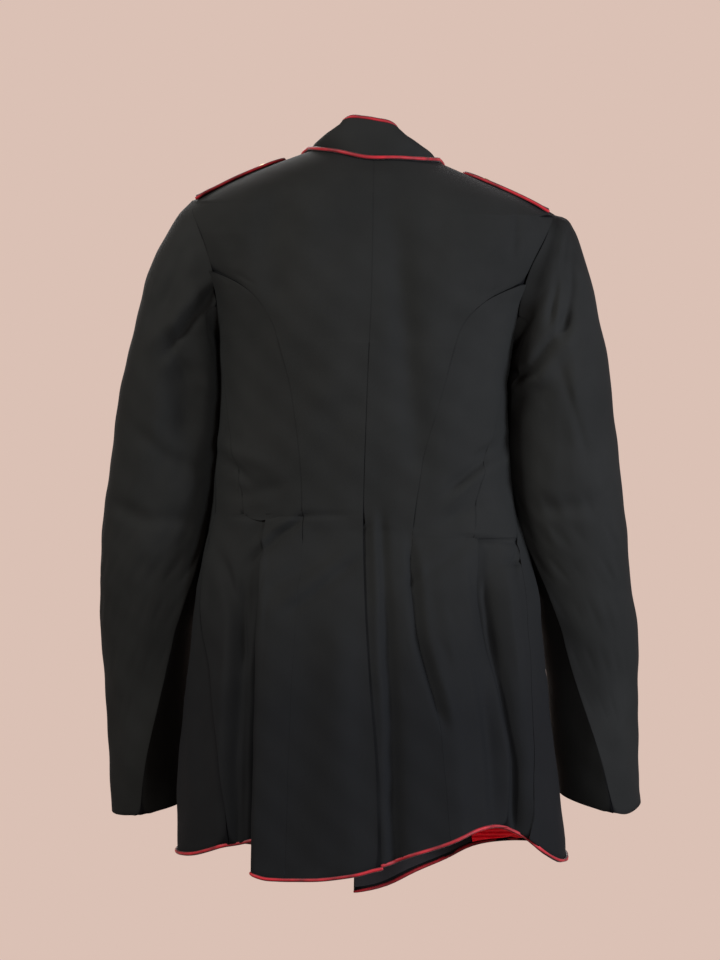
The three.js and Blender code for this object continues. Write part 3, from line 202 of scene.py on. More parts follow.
CREASES_BEFORE = [
    # the same on the front, where nothing shows in the picture: a worn front of the same cut
    {"path": [(120, -120), (98, -190), (86, -260)], "width": 18, "depth": -1.8},
    {"path": [(-118, -126), (-100, -200), (-90, -270)], "width": 18, "depth": -1.8},
    {"path": [(22, -345), (60, -330), (104, -318)], "width": 8, "depth": -1.8},
    {"path": [(20, -402), (56, -384), (96, -362)], "width": 7, "depth": -1.6},
    {"path": [(26, -420), (70, -410), (112, -398)], "width": 8, "depth": 1.2},
    {"path": [(-30, -352), (-66, -336), (-108, -330)], "width": 8, "depth": -1.8},
    {"path": [(-30, -398), (-64, -386), (-100, -372)], "width": 7, "depth": -1.5},
    {"path": [(12, -300), (40, -292), (70, -290)], "width": 9, "depth": 1.2},
    {"path": [(148, -240), (128, -262), (104, -276)], "width": 7, "depth": -1.6},
    {"path": [(-138, -244), (-120, -266), (-96, -282)], "width": 7, "depth": -1.6},
    {"path": [(40, -450), (34, -580), (30, -740)], "width": 16, "depth": -1.8},
    {"path": [(-44, -450), (-38, -580), (-34, -740)], "width": 16, "depth": -1.8},
    {"path": [(140, -460), (150, -580), (154, -710)], "width": 12, "depth": -2.2},
    {"path": [(-136, -460), (-148, -580), (-152, -710)], "width": 12, "depth": -2.2},
    {"path": [(17, -90), (17, -400), (17, -740)], "width": 5, "depth": -0.8},
]
CREASE_TAPER = 0.018          # a crease fades over this length past its ends
CREASE_STRENGTH = 1.8
SWELL = 0.0009                # slow unevenness of hanging cloth
SWELL_LENGTH = 0.085
SEAM_CLOSING = 0.00017        # the frame keeps 0.3 mm between pieces, so each grows by half of that
EDGE_ROUND = 0.0010           # pressed seam edge
FITS = 3                      # times the rounded form is brought back to the CAD points
FIT_AT_RIM = 0.004
FIT_INSIDE = 0.006
STRAY = 0.0009                # the most that the cloth may leave the plain solid before its folds
SHARP_ANGLE = math.radians(48)
CUT_WIDTH = 0.0034            # a face narrower than this is the cloth's cut edge
TIP_LENGTH = 0.016            # the side back's tip, drawn up this far into the armhole seam
TIP_PULL = 0.0036
WAIST_TUCK = 0.0012           # the skirts go up under the waist seam by this
WAIST_REACH = 0.0026          # and the side backs down behind them by this
WAIST_CORNER = 0.114          # more of it here, across from the middle, where the pleat starts
WAIST_CORNER_MORE = 1.3
SIDE_REACH = 0.0034           # the right side skirt goes forward by this to meet its seam
NECK_SAG = 0.0042
NECK_SAG_ACROSS = 0.006
NECK_SAG_WIDTH = 0.026
RIDGE_LOW, RIDGE_HIGH = -0.085, -0.025
RIDGE_CLEAR = 0.0025          # from here on, away from a seam, the shoulder is eased
RIDGE_ROUNDS = 40
QUIET_SEAMS = [
    # left, right, top and bottom in mm, on the back: here the pressed pleats hide the seams
    (100, 56, -402, -760), (180, 73, -366, -400), (-34, -109, -392, -420), (-30, -100, -412, -800),
]


def read_points(mesh):
    points = np.zeros(len(mesh.vertices) * 3)
    mesh.vertices.foreach_get("co", points)
    return points.reshape(-1, 3)


def write_points(mesh, points):
    mesh.vertices.foreach_set("co", points.ravel())
    mesh.update()


def is_rim(edge):
    """A cut edge of the cloth: a sharp corner where one face is no wider than the cloth is thick."""
    if len(edge.link_faces) != 2 or edge.calc_face_angle(0.0) < SHARP_ANGLE:
        return False
    widths = [face.calc_area() / max(side.calc_length() for side in face.edges) for face in edge.link_faces]
    return min(widths) < CUT_WIDTH


def is_quiet(edge):
    """Seams that the pressed pleats hide: no groove is made there."""
    middle = (edge.verts[0].co + edge.verts[1].co) / 2
    if middle.y < 0:
        return False
    return any(left > middle.x * 1000 > right and top > middle.z * 1000 > bottom
               for left, right, top, bottom in QUIET_SEAMS)


def face_regions(bm):
    """Splits the faces into regions that only cut edges divide, the largest one first."""
    cut = {edge for edge in bm.edges if is_rim(edge)}
    regions = []
    left = set(bm.faces)
    while left:
        start = left.pop()
        region, reach = [start], [start]
        while reach:
            for edge in reach.pop().edges:
                if edge in cut:
                    continue
                for face in edge.link_faces:
                    if face in left:
                        left.remove(face)
                        region.append(face)
                        reach.append(face)
        regions.append(region)
    return sorted(regions, key=lambda region: -sum(face.calc_area() for face in region))


def subdivided(mesh, levels):
    """The mesh rounded by subdivision, as new data."""
    trial = bpy.data.objects.new("trial", mesh)
    bpy.context.scene.collection.objects.link(trial)
    rounder = trial.modifiers.new("rounding", "SUBSURF")
    rounder.levels = rounder.render_levels = levels
    bpy.context.view_layer.update()
    result = bpy.data.meshes.new_from_object(trial.evaluated_get(bpy.context.evaluated_depsgraph_get()))
    bpy.data.objects.remove(trial)
    return result


def smooth_copy(name, node_name, levels, edge_round=EDGE_ROUND, swell=SEAM_CLOSING, hold=1.0):
    """A smooth copy of a CAD node that still passes through its points.

    Its triangles are joined to quads, it grows by half a seam so that neighbours meet, and the rim of
    its outer face is rounded by edge_round, which leaves a groove along each seam. hold is how sharp
    its other edges stay.
    """
    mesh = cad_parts[node_name].data.copy()
    bm = bmesh.new()
    bm.from_mesh(mesh)
    bmesh.ops.remove_doubles(bm, verts=bm.verts, dist=2e-6)
    bmesh.ops.join_triangles(bm, faces=bm.faces, cmp_seam=False, cmp_sharp=False, cmp_uvs=False,
                             cmp_vcols=False, cmp_materials=False, angle_face_threshold=math.radians(40),
                             angle_shape_threshold=math.radians(60))
    bm.normal_update()
    for vert, step in [(vert, vert.normal * vert.calc_shell_factor() * swell) for vert in bm.verts]:
        vert.co += step
    seam = bm.verts.layers.float.new("seam")
    if edge_round:
        open_cloth = bm.faces.layers.int.new("open_cloth")
        outer = set(face_regions(bm)[0])
        for face in outer:
            face[open_cloth] = 1
        rim = [edge for edge in bm.edges if len(set(edge.link_faces) & outer) == 1 and not is_quiet(edge)]
        rounding = bmesh.ops.bevel(bm, geom=rim, offset=edge_round, offset_type="OFFSET", segments=2,
                                   profile=0.5, affect="EDGES", clamp_overlap=False, material=-1)
        for face in rounding["faces"]:
            face[open_cloth] = 0
        # the groove's own points, away from the open cloth, carry the mask where the wool is painted in
        # shade
        for vert in rounding["verts"]:
            if not any(face[open_cloth] for face in vert.link_faces):
                vert[seam] = 1.0
        bm.normal_update()
    crease = bm.edges.layers.float.get("crease_edge") or bm.edges.layers.float.new("crease_edge")
    for edge in bm.edges:
        if is_rim(edge):
            edge[crease] = hold
    near_rim = np.array([any(min(side.calc_length() for side in face.edges) < CUT_WIDTH
                             for face in vert.link_faces) for vert in bm.verts])
    bm.to_mesh(mesh)
    bm.free()
    corners = read_points(mesh)
    most = np.where(near_rim, FIT_AT_RIM, FIT_INSIDE)
    shift = np.zeros_like(corners)
    for _ in range(FITS):
        rounded = subdivided(mesh, 2)
        shift += corners - read_points(rounded)[:len(corners)]
        length = np.maximum(np.linalg.norm(shift, axis=1), 1e-9)
        shift *= (np.minimum(length, most) / length)[:, None]
        write_points(mesh, corners + shift)
    final = subdivided(mesh, levels)
    # nothing strays further from the plain solid than a soft edge needs
    tree = BVHTree.FromObject(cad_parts[node_name], bpy.context.evaluated_depsgraph_get())
    points = read_points(final)
    for i, point in enumerate(points):
        near, _, _, away = tree.find_nearest(point)
        if away > STRAY:
            points[i] = near + (Vector(point) - near) * (STRAY / away)
    write_points(final, points)
    final.name = name
    final.materials.clear()
    piece = bpy.data.objects.new(name, final)
    bpy.context.scene.collection.objects.link(piece)
    return piece


def crease_depth(flat, creases):
    """Sum of soft troughs and ridges at points given as (across, up) in metres."""
    total = np.zeros(len(flat))
    for crease in creases:
        path = np.array(crease["path"], float) / 1000
        width = crease["width"] / 1000
        nearest = np.full(len(flat), 1e9)
        beyond = np.zeros(len(flat))
        for i in range(len(path) - 1):
            run = path[i + 1] - path[i]
            length = np.hypot(*run)
            along = ((flat - path[i]) @ run) / length
            held = np.clip(along, 0, length)
            foot = path[i] + held[:, None] * run / length
            away = np.hypot(*(flat - foot).T)
            past = np.zeros(len(flat))
            if i == 0:
                past = np.maximum(past, -along)
            if i == len(path) - 2:
                past = np.maximum(past, along - length)
            side = np.sqrt(np.maximum(away ** 2 - np.maximum(past, 0) ** 2, 0))
            better = away < nearest
            nearest = np.where(better, away, nearest)
            beyond = np.where(better, np.stack([side, np.maximum(past, 0)]), beyond)
        side, past = beyond
        fall = np.exp(-(side / width) ** 2 - (past / CREASE_TAPER) ** 2)
        total += CREASE_STRENGTH * crease["depth"] / 1000 * fall
    return total


def cloth_swell(points):
    """Slow, uneven swell of hanging cloth, in metres."""
    x, y, z = (points * (2 * math.pi / SWELL_LENGTH)).T
    waves = np.sin(0.9 * x + 0.4 * z + 0.7) * np.sin(0.5 * z - 0.6 * y + 1.9)
    waves += 0.6 * np.sin(1.7 * x - 0.8 * z + 2.1) * np.sin(1.1 * z + 0.9 * y + 0.3)
    return SWELL * waves


def neck_sag(points):
    """The neck seam sags a little left of the middle of the back."""
    behind = np.clip(points[:, 1] / 0.02, 0, 1)
    across = np.exp(-((points[:, 0] - NECK_SAG_ACROSS) / NECK_SAG_WIDTH) ** 2)
    near = np.exp(-((points[:, 2] + 0.006) / 0.014) ** 2)
    sagged = points.copy()
    sagged[:, 2] -= NECK_SAG * behind * across * near
    return sagged


def eased_ridge(piece):
    """The cloth bends over the shoulder in a soft round, away from its seams."""
    bm = bmesh.new()
    bm.from_mesh(piece.data)
    seam = bm.verts.layers.float["seam"]
    edge_verts = [vert for vert in bm.verts if vert[seam] > 0.3]
    finder = KDTree(len(edge_verts))
    for i, vert in enumerate(edge_verts):
        finder.insert(vert.co, i)
    finder.balance()
    ridge = [vert for vert in bm.verts if RIDGE_LOW < vert.co.z < RIDGE_HIGH
             and finder.find(vert.co)[2] > RIDGE_CLEAR]
    for _ in range(RIDGE_ROUNDS):
        bmesh.ops.smooth_vert(bm, verts=ridge, factor=0.5, use_axis_x=True, use_axis_y=True, use_axis_z=True)
    bm.to_mesh(piece.data)
    bm.free()


def body_folds(points, inside=0.0):
    """How the body's cloth moves: out from the middle of the body, by its creases and swell."""
    out = points * (1.0, 1.0, 0.0)
    out[:, 0] *= 0.55
    out /= np.maximum(np.hypot(out[:, 0], out[:, 1]), 1e-6)[:, None]
    behind = 1 / (1 + np.exp(-(points[:, 1] - 0.012) / 0.006))
    flat = points[:, [0, 2]]
    depth = behind * crease_depth(flat, CREASES_BEHIND) + (1 - behind) * crease_depth(flat, CREASES_BEFORE)
    rim = np.clip((-0.012 - points[:, 2]) / 0.05, 0, 1)
    depth *= np.clip(np.abs(out[:, 1]) / 0.5, 0, 1)
    return points + out * ((depth + cloth_swell(points)) * rim - inside)[:, None]


def finish_piece(piece, node_name, material, sharp=38):
    for polygon in piece.data.polygons:
        polygon.use_smooth = True
    piece.data.set_sharp_from_angle(angle=math.radians(sharp))
    piece.data.materials.append(material)
    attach(piece, "root")
    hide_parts(node_name)


PANELS = [
    # name, subdivision levels, and the cut in metres: greatest width, length down the cloth, mean width
    ("back_left", 3, (0.205, 0.775, 0.105)), ("back_right", 3, (0.185, 0.765, 0.107)),
    ("side_back_left", 3, (0.095, 0.255, 0.077)), ("side_back_right", 3, (0.095, 0.270, 0.074)),
    ("side_left", 2, (0.048, 0.195, 0.045)), ("side_right", 2, (0.060, 0.210, 0.054)),
    ("skirt_back_left", 3, (0.043, 0.380, 0.042)), ("skirt_back_right", 3, (0.086, 0.325, 0.075)),
    ("skirt_side_left", 3, (0.096, 0.350, 0.077)), ("skirt_side_right", 3, (0.076, 0.320, 0.063)),
    ("front_left", 2, (0.385, 0.760, 0.265)), ("front_right", 2, (0.350, 0.775, 0.240)),
]
for name, levels, cut in PANELS:
    piece = smooth_copy(f"{name}_cloth", name, levels)
    if name.startswith("back"):
        eased_ridge(piece)
    points = neck_sag(read_points(piece.data))
    if name.startswith("side_back"):
        # its lower edge reaches behind the waist seam
        corner = 1 + WAIST_CORNER_MORE * np.exp(-((points[:, 0] - WAIST_CORNER) / 0.012) ** 2)
        low = np.clip((points[:, 2].min() + 0.006 - points[:, 2]) / 0.002, 0, 1)
        points[:, 2] -= WAIST_REACH * corner * low
        # the tip is drawn up into the corner of the armhole seam
        tip = np.clip((points[:, 2] - points[:, 2].max() + TIP_LENGTH) / TIP_LENGTH, 0, 1)[:, None]
        points += tip * TIP_PULL * (1 if name.endswith("left") else -1, 0, 0.7)
    if name == "skirt_side_right":
        # its front edge reaches the side seam down to the hem
        low = np.clip((-0.672 - points[:, 2]) / 0.025, 0, 1) * np.clip((-0.146 - points[:, 0]) / 0.012, 0, 1)
        points[:, 0] -= SIDE_REACH * low
    if name.startswith("skirt"):
        # its top edge is tucked under the waist seam
        points[:, 2] += WAIST_TUCK * np.clip((points[:, 2] - points[:, 2].max() + 0.004) / 0.002, 0, 1)
    write_points(piece.data, body_folds(points))
    finish_piece(piece, name, wool_cross if name.startswith("side") else wool)

# Sleeves
# Two pieces each, top and under, of the same twill, set into the armhole and pressed at the hind
# seam. They bend forwards from the elbow and break into soft drag folds below the shoulder.
SLEEVE_CREASES_BEHIND = [
    {"path": [(166, -153), (184, -176), (206, -204)], "width": 6, "depth": -2.6},
    {"path": [(176, -146), (196, -168), (218, -192)], "width": 8, "depth": 1.8},
    {"path": [(206, -204), (196, -226), (184, -250)], "width": 7, "depth": -1.8},
    {"path": [(190, -196), (192, -240), (196, -284)], "width": 13, "depth": -3.0},
    {"path": [(196, -112), (206, -140), (212, -172)], "width": 8, "depth": -1.6},
    {"path": [(232, -300), (212, -318), (186, -330)], "width": 8, "depth": -1.6},
    {"path": [(262, -372), (232, -384), (204, -384)], "width": 9, "depth": -1.5},
    {"path": [(-206, -86), (-199, -126), (-190, -166)], "width": 5, "depth": -2.4},
    {"path": [(-212, -104), (-209, -146), (-203, -186)], "width": 5, "depth": -2.2},
    {"path": [(-200, -100), (-197, -140), (-194, -176)], "width": 3.6, "depth": 1.6},
    {"path": [(-141, -220), (-157, -235), (-174, -228), (-196, -186)], "width": 5.5, "depth": -2.8},
    {"path": [(-141, -232), (-158, -248), (-180, -240), (-206, -198)], "width": 7, "depth": 1.8},
    {"path": [(-202, -238), (-211, -268), (-220, -298)], "width": 5, "depth": -1.4},
    {"path": [(-256, -352), (-228, -370), (-200, -372)], "width": 9, "depth": -1.5},
]
SLEEVE_CREASES_BEFORE = [
    {"path": [(250, -356), (224, -368), (192, -366)], "width": 7, "depth": -2.6},
    {"path": [(262, -380), (232, -394), (198, -398)], "width": 8, "depth": -2.2},
    {"path": [(256, -368), (228, -381), (196, -382)], "width": 6, "depth": 1.8},
    {"path": [(200, -110), (206, -160), (202, -220)], "width": 9, "depth": -2.0},
    {"path": [(-246, -356), (-220, -368), (-190, -366)], "width": 7, "depth": -2.6},
    {"path": [(-258, -380), (-230, -394), (-198, -398)], "width": 8, "depth": -2.2},
    {"path": [(-252, -368), (-226, -381), (-194, -382)], "width": 6, "depth": 1.8},
    {"path": [(-200, -110), (-206, -160), (-202, -220)], "width": 9, "depth": -2.0},
]
SLEEVES = [
    ("top_sleeve_left", 3, (0.280, 0.655, 0.213)), ("top_sleeve_right", 3, (0.295, 0.640, 0.222)),
    ("under_sleeve_left", 3, (0.105, 0.545, 0.070)), ("under_sleeve_right", 3, (0.105, 0.530, 0.072)),
]


REST_DROPS = [0.17, 0.21, 0.38, 0.44, 0.50]    # from armhole to hip a sleeve rests on the body
REST_PUSH = [0.0, 0.006, 0.0065, 0.006, 0.0]   # and its inner side lies this much nearer it
CUFF_CORNER = 0.263           # past this, across from the middle, the cuff's lower corner rises
CUFF_ROUND = 26.0


def sleeve_folds(points, side):
    """The sleeve's cloth moves out from a line through the middle of the sleeve."""
    up = -points[:, 2]
    middle_x = side * np.interp(up, [0.10, 0.20, 0.34, 0.45, 0.69], [0.182, 0.200, 0.219, 0.228, 0.226])
    middle_y = np.interp(up, [0.20, 0.34, 0.45, 0.69], [-0.002, -0.012, -0.031, -0.072])
    out = np.stack([points[:, 0] - middle_x, points[:, 1] - middle_y, np.zeros(len(points))], 1)
    out /= np.maximum(np.hypot(out[:, 0], out[:, 1]), 1e-6)[:, None]
    behind = 1 / (1 + np.exp(-(points[:, 1] - middle_y) / 0.008))
    flat = points[:, [0, 2]]
    depth = behind * crease_depth(flat, SLEEVE_CREASES_BEHIND)
    depth += (1 - behind) * crease_depth(flat, SLEEVE_CREASES_BEFORE)
    depth *= np.clip(np.abs(out[:, 1]) / 0.6, 0, 1)
    held = np.clip((up - 0.075) / 0.03, 0, 1)
    moved = points + out * ((depth + cloth_swell(points)) * held)[:, None]
    # the inner side rests against the body down to the hip, and the cuff's lower corners are round
    inner = np.clip(-side * (points[:, 0] - middle_x) / 0.03, 0, 1)
    moved[:, 0] -= side * inner * np.interp(up, REST_DROPS, REST_PUSH)
    corner = np.maximum(side * points[:, 0] - CUFF_CORNER, 0)
    moved[:, 2] += CUFF_ROUND * corner ** 2 * np.clip((up - 0.66) / 0.02, 0, 1)
    return moved


for name, levels, cut in SLEEVES:
    piece = smooth_copy(f"{name}_cloth", name, levels)
    write_points(piece.data, sleeve_folds(read_points(piece.data), 1 if name.endswith("left") else -1))
    finish_piece(piece, name, wool_sleeve)

# Stand collar
# A stiffened band of the twill, sewn to the neckline. It has sagged, so its back stands and its
# sides fall inwards. Red piping is caught in its top edge and along the neck seam.
COLLAR_LEAN = 0.0040          # its top sinks this far to the wearer's right


def collar_lean(points):
    """The collar's top edge sinks towards the wearer's right."""
    leaned = neck_sag(points)
    across = np.clip((0.012 - points[:, 0]) / 0.043, 0, 1)
    leaned[:, 2] -= COLLAR_LEAN * across * np.clip(points[:, 2] / 0.028, 0, 1)
    return leaned


collar = smooth_copy("collar_cloth", "collar", 3)
write_points(collar.data, collar_lean(read_points(collar.data)))
finish_piece(collar, "collar", wool_cross)

# Shoulder straps
# Flat tabs of two layers of twill, sewn into the sleeve head and buttoned by the collar, with the
# same piping round their edge.
for side, length in (("left", 0.095), ("right", 0.092)):
    strap = smooth_copy(f"shoulder_strap_{side}_cloth", f"shoulder_strap_{side}", 2, 0.0, 0.0, 1.0)
    finish_piece(strap, f"shoulder_strap_{side}", wool_cross)

# Facing and lining of the right front
# They show only where that front hangs below the back: a strip of the shell turned in at the front
# edge, and behind it red satin lining with small pleats from its felled hem.
LINING_SIDE = -0.150
LINING_BACK = 0.006           # its side edge stops short of the side seam
LAYER_ROOM = 0.0011           # the layers lie loose behind the shell
SATIN_RED = "#FF0826"
# painted shade: the darker red of the troughs of the lining's small pleats
SATIN_SHADE = "#E00720"


def satin(name):
    # Satin lining: smooth, filament yarn, so a tight highlight along its folds
    material, tree, shader = new_material(name)
    place = add_node(tree, "ShaderNodeTexCoord").outputs["Object"]
    ribs = add_node(tree, "ShaderNodeTexWave", {
        "wave_type": "BANDS", "bands_direction": "Z", "Scale": math.pi / 10 / 0.0042, "Distortion": 1.2,
        "Detail": 1.0, "Detail Scale": 2.0}, {"Vector": place})
    # painted shade and light: the rib troughs take the shaded red and the crests the bright red, in step
    # with their bump
    colour = add_node(tree, "ShaderNodeMix", {"data_type": "RGBA"})
    tree.links.new(ribs.outputs["Fac"], colour.inputs["Factor"])
    colour.inputs["A"].default_value = linear(SATIN_SHADE)
    colour.inputs["B"].default_value = linear(SATIN_RED)
    bump = add_node(tree, "ShaderNodeBump", {"Strength": 0.5, "Distance": 0.0008},
                    {"Height": ribs.outputs["Fac"]})
    tree.links.new(colour.outputs["Result"], shader.inputs["Base Color"])
    tree.links.new(bump.outputs["Normal"], shader.inputs["Normal"])
    shader.inputs["Roughness"].default_value = 0.42
    shader.inputs["Specular IOR Level"].default_value = 0.2
    return material


facing = smooth_copy("facing_right_cloth", "facing_right", 2)
write_points(facing.data, body_folds(read_points(facing.data), LAYER_ROOM))
finish_piece(facing, "facing_right", wool_facing_painted_lit)
lining = smooth_copy("lining_right_cloth", "lining_right", 2)
points = read_points(lining.data)
points[:, 0] += LINING_BACK * np.clip((LINING_SIDE - points[:, 0]) / 0.012, 0, 1)
write_points(lining.data, body_folds(points, LAYER_ROOM))
finish_piece(lining, "lining_right", satin("red lining satin"))

# Piping
# A cord covered with red wool cloth, caught in the seams of the collar, the straps and the hem.
# It stands as a round, matt ridge, painted darker as shade where it turns into the seam.
PIPING_RED = "#720A15"
PIPING_DEEP = "#48050D"
PIPING_EDGE_SHADE = "#180105"
PIPING_FULLNESS = 0.0004      # the cord is fuller than the plain one in the frame


def covered_cord(name):
    # Wool-covered cord: matt and bright, with painted shade where it turns into its seam
    material, tree, shader = new_material(name)
    place = add_node(tree, "ShaderNodeTexCoord").outputs["Object"]
    twist = add_node(tree, "ShaderNodeTexNoise", {"Scale": 900.0, "Detail": 2.0, "Roughness": 0.6},
                     {"Vector": place})
    patch = add_node(tree, "ShaderNodeTexNoise", {"Scale": 60.0, "Detail": 2.0}, {"Vector": place})
    fade = add_node(tree, "ShaderNodeMapRange", {"From Min": 0.3, "From Max": 0.62},
                    {"Value": patch.outputs["Fac"]})
    colour = add_node(tree, "ShaderNodeMix", {"data_type": "RGBA"})
    tree.links.new(fade.outputs["Result"], colour.inputs["Factor"])
    colour.inputs["A"].default_value = linear(PIPING_DEEP)
    colour.inputs["B"].default_value = linear(PIPING_RED)
    # painted shade: the cover is painted darkest where the cord's surface faces up or down, turning into its
    # seam
    painted_edge_shade = add_node(tree, "ShaderNodeAttribute", {"attribute_name": "painted_edge_shade"})
    edge = add_node(tree, "ShaderNodeMix", {"data_type": "RGBA"})
    tree.links.new(painted_edge_shade.outputs["Fac"], edge.inputs["Factor"])
    tree.links.new(colour.outputs["Result"], edge.inputs["A"])
    edge.inputs["B"].default_value = linear(PIPING_EDGE_SHADE)
    bump = add_node(tree, "ShaderNodeBump", {"Strength": 0.5, "Distance": 0.0003},
                    {"Height": twist.outputs["Fac"]})
    tree.links.new(edge.outputs["Result"], shader.inputs["Base Color"])
    tree.links.new(bump.outputs["Normal"], shader.inputs["Normal"])
    shader.inputs["Roughness"].default_value = 0.6
    shader.inputs["Specular IOR Level"].default_value = 0.16
    shader.inputs["Sheen Weight"].default_value = 0.05
    shader.inputs["Sheen Roughness"].default_value = 0.4
    return material


cord_red = covered_cord("red wool-covered cord")
CORD_MEETS = 0.0032           # the two back cords meet below the vent
CORD_END = 0.014              # the right back cord thins over this length
HEM_SEAT = 0.0012             # a hem cord sits this much higher, close under the rounded edge
CORD_SEATS = {"hem_piping_back_left": HEM_SEAT, "hem_piping_back_right": HEM_SEAT,
              "hem_piping_side_left": 0.0026, "hem_piping_side_right": 0.0036, "collar_piping": -0.0011}
PIPINGS = ["collar_piping", "neck_piping", "strap_piping_left", "strap_piping_right", "hem_piping_back_left",
           "hem_piping_back_right", "hem_piping_side_left", "hem_piping_side_right"]
for name in PIPINGS:
    piece = smooth_copy(f"{name}_cord", name, 2, 0.0, 0.0, 0.0)
    normals = np.zeros(len(piece.data.vertices) * 3)
    piece.data.vertices.foreach_get("normal", normals)
    normals = normals.reshape(-1, 3)
    # painted shade mask: strongest where the cord's surface faces straight up or down
    painted_edge_shade = piece.data.attributes.new("painted_edge_shade", "FLOAT", "POINT")
    painted_edge_shade.data.foreach_set("value", np.clip((np.abs(normals[:, 2]) - 0.45) / 0.4, 0, 1))
    points = read_points(piece.data) + normals * PIPING_FULLNESS
    points[:, 2] += CORD_SEATS.get(name, 0.0)
    if name in ("neck_piping", "collar_piping"):
        points = collar_lean(points)
    if name.startswith("hem"):
        points = body_folds(points)
    if name == "hem_piping_back_left":
        points[:, 0] -= CORD_MEETS * np.clip((-0.002 - points[:, 0]) / 0.005, 0, 1)
    if name == "hem_piping_back_right":
        points[:, 0] += CORD_MEETS * np.clip((points[:, 0] + 0.022) / 0.005, 0, 1)
        # its far end runs thin into the corner of the pleat
        end = np.clip((points[:, 0].min() + CORD_END - points[:, 0]) / CORD_END, 0, 1)[:, None] ** 2
        middle = points[end[:, 0] > 0.2].mean(axis=0)
        aside = (middle - points) * (0, 0.8, 0.8)
        points += end * (aside + (0, 0, -0.0012))
    write_points(piece.data, points)
    finish_piece(piece, name, cord_red, 70)

# Buttons
# Plain domed brass, pressed over a back plate with a narrow rim, sewn on by a shank.
BUTTON_BRASS = "#B9924A"
BUTTON_PROFILE = [
    # radius and height in mm, from the back to the crown
    (0.0, 0.0), (6.6, 0.0), (8.2, 0.5), (8.6, 1.3), (8.3, 2.0), (7.6, 2.2), (7.3, 2.7), (6.0, 4.2),
    (4.2, 5.2), (2.1, 5.75), (0.0, 5.9),
]
BUTTON_STEPS = 40


def polished_brass(name):
    # Brass: a warm metal, polished but fingered, so its gloss is uneven
    material, tree, shader = new_material(name)
    place = add_node(tree, "ShaderNodeTexCoord").outputs["Object"]
    smear = add_node(tree, "ShaderNodeTexNoise", {"Scale": 160.0, "Detail": 4.0}, {"Vector": place})
    gloss = add_node(tree, "ShaderNodeMapRange", {
        "From Min": 0.3, "From Max": 0.7, "To Min": 0.2, "To Max": 0.4}, {"Value": smear.outputs["Fac"]})
    tree.links.new(gloss.outputs["Result"], shader.inputs["Roughness"])
    shader.inputs["Base Color"].default_value = linear(BUTTON_BRASS)
    shader.inputs["Metallic"].default_value = 1.0
    return material


brass = polished_brass("polished brass")


def dome_button(name, node_name, facing_way, size, rise=1.0):
    """A turned button on the seat of a CAD button; size and rise scale its width and its height."""
    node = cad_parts[node_name]
    points = np.array([vertex.co for vertex in node.data.vertices])
    facing_way = np.array(facing_way)
    middle = points.mean(0)
    spread = np.linalg.svd(points - middle, full_matrices=False)[2][2]
    normal = spread if spread @ facing_way > 0 else -spread
    heights = (points - middle) @ normal
    seat = points[heights < heights.min() + 2e-4].mean(0)
    bm = bmesh.new()
    ring = [bm.verts.new((size * radius / 1000, 0, rise * size * height / 1000))
            for radius, height in BUTTON_PROFILE]
    lines = [bm.edges.new(pair) for pair in zip(ring, ring[1:])]
    bmesh.ops.spin(bm, geom=ring + lines, cent=(0, 0, 0), axis=(0, 0, 1), angle=2 * math.pi,
                   steps=BUTTON_STEPS, use_merge=True)
    bmesh.ops.remove_doubles(bm, verts=bm.verts, dist=1e-6)
    bmesh.ops.recalc_face_normals(bm, faces=bm.faces)
    turn = Vector((0, 0, 1)).rotation_difference(Vector(normal)).to_matrix()
    bmesh.ops.transform(bm, matrix=turn.to_4x4(), verts=bm.verts)
    bmesh.ops.translate(bm, vec=Vector(seat), verts=bm.verts)
    mesh = bpy.data.meshes.new(name)
    bm.to_mesh(mesh)
    bm.free()
    piece = bpy.data.objects.new(name, mesh)
    bpy.context.scene.collection.objects.link(piece)
    finish_piece(piece, node_name, brass, 30)
    return piece


for number in range(1, 7):
    dome_button(f"front_button_{number}_dome", f"front_button_{number}", (0, -1, 0.1), 1.2)
for side in ("left", "right"):
    dome_button(f"strap_button_{side}_dome", f"strap_button_{side}", (0, 0, 1), 0.85, 0.55)

# Floor, light and camera
# A plain pale floor below the hanging jacket, broad soft light from behind and above the camera,
# and a long lens square to the back.
GROUND = "#DBC1B5"
FLOOR_HEIGHT = -1.05
FLOOR_RADIUS = 2.4
FLOOR_PAINT = "#6E625B"       # pale once the lamps and the bright studio reach it
PIXEL = 0.00104               # one pixel of the picture at the jacket
FRAME_HEIGHT = 960 * PIXEL
MIDDLE = Vector((0.0104, 0.0, -0.3432))
CAMERA_DISTANCE = 28.0
SENSOR = 36.0

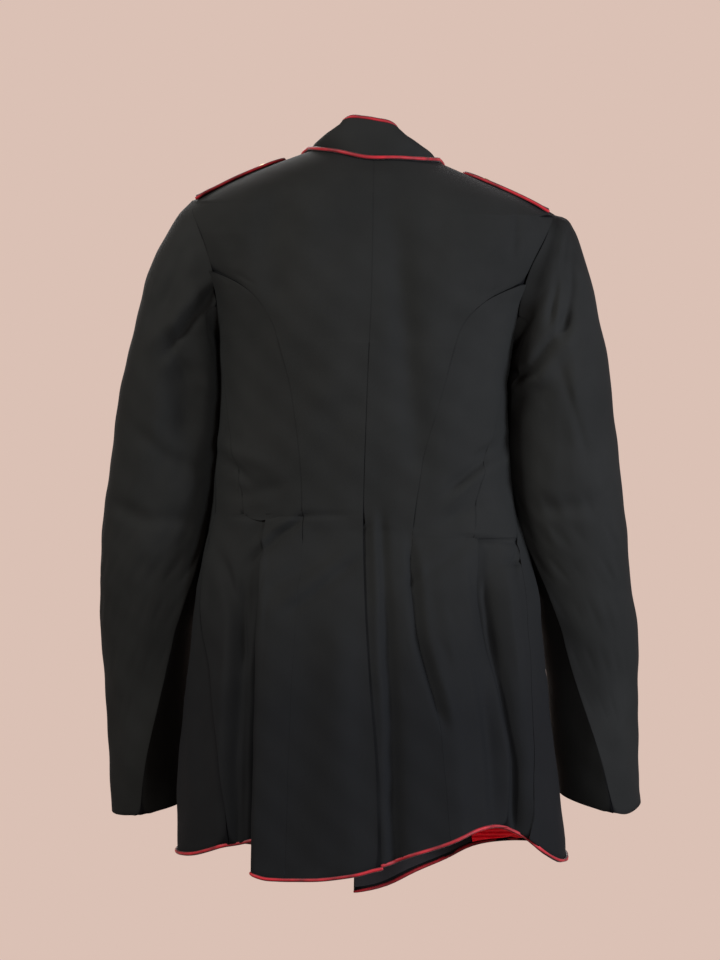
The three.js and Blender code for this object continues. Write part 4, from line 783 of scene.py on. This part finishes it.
bm = bmesh.new()
bmesh.ops.create_circle(bm, cap_ends=True, segments=96, radius=FLOOR_RADIUS)
bmesh.ops.translate(bm, vec=(0, 0, FLOOR_HEIGHT), verts=bm.verts)
floor_mesh = bpy.data.meshes.new("floor")
bm.to_mesh(floor_mesh)
bm.free()
floor = bpy.data.objects.new("floor", floor_mesh)
bpy.context.scene.collection.objects.link(floor)
paint, paint_tree, paint_shader = new_material("matt floor paint")
paint_shader.inputs["Base Color"].default_value = linear(FLOOR_PAINT)
paint_shader.inputs["Roughness"].default_value = 0.9
floor_mesh.materials.append(paint)

world = bpy.data.worlds.new("studio")
world.use_nodes = True
world.node_tree.nodes["Background"].inputs["Color"].default_value = linear(GROUND)
world.node_tree.nodes["Background"].inputs["Strength"].default_value = 1.0
bpy.context.scene.world = world
bpy.context.scene.view_settings.view_transform = "Standard"


def soft_light(name, place, aim, size, power, colour):
    """A round studio lamp with a diffuser; size in metres and power in watts."""
    data = bpy.data.lights.new(name, "AREA")
    data.shape = "DISK"
    data.size = size
    data.energy = power
    data.color = linear(colour)[:3]
    lamp = bpy.data.objects.new(name, data)
    lamp.location = place
    lamp.rotation_euler = (Vector(aim) - Vector(place)).to_track_quat("-Z", "Y").to_euler()
    bpy.context.scene.collection.objects.link(lamp)


soft_light("key", (2.2, 1.7, 1.6), (0, 0, -0.3), 0.8, 228, "#FFFCF6")
soft_light("fill", (-2.7, 1.2, -0.1), (0, 0, -0.5), 1.2, 205, "#F0F4FF")
soft_light("low", (-1.3, 2.3, -0.68), (-0.1, 0, -0.75), 0.6, 55, "#FFFFFF")
soft_light("front", (0.8, -3.0, 1.4), (0, 0, -0.3), 2.2, 90, "#FFFFFF")

camera = bpy.data.objects.new("camera", bpy.data.cameras.new("camera"))
camera.data.sensor_width = SENSOR
camera.data.lens = SENSOR * CAMERA_DISTANCE / FRAME_HEIGHT
toward = Vector((0, 1, 0))
camera.location = MIDDLE + toward * CAMERA_DISTANCE
camera.rotation_euler = (-toward).to_track_quat("-Z", "Y").to_euler()
camera.data.clip_end = 300
bpy.context.scene.collection.objects.link(camera)
bpy.context.scene.camera = camera
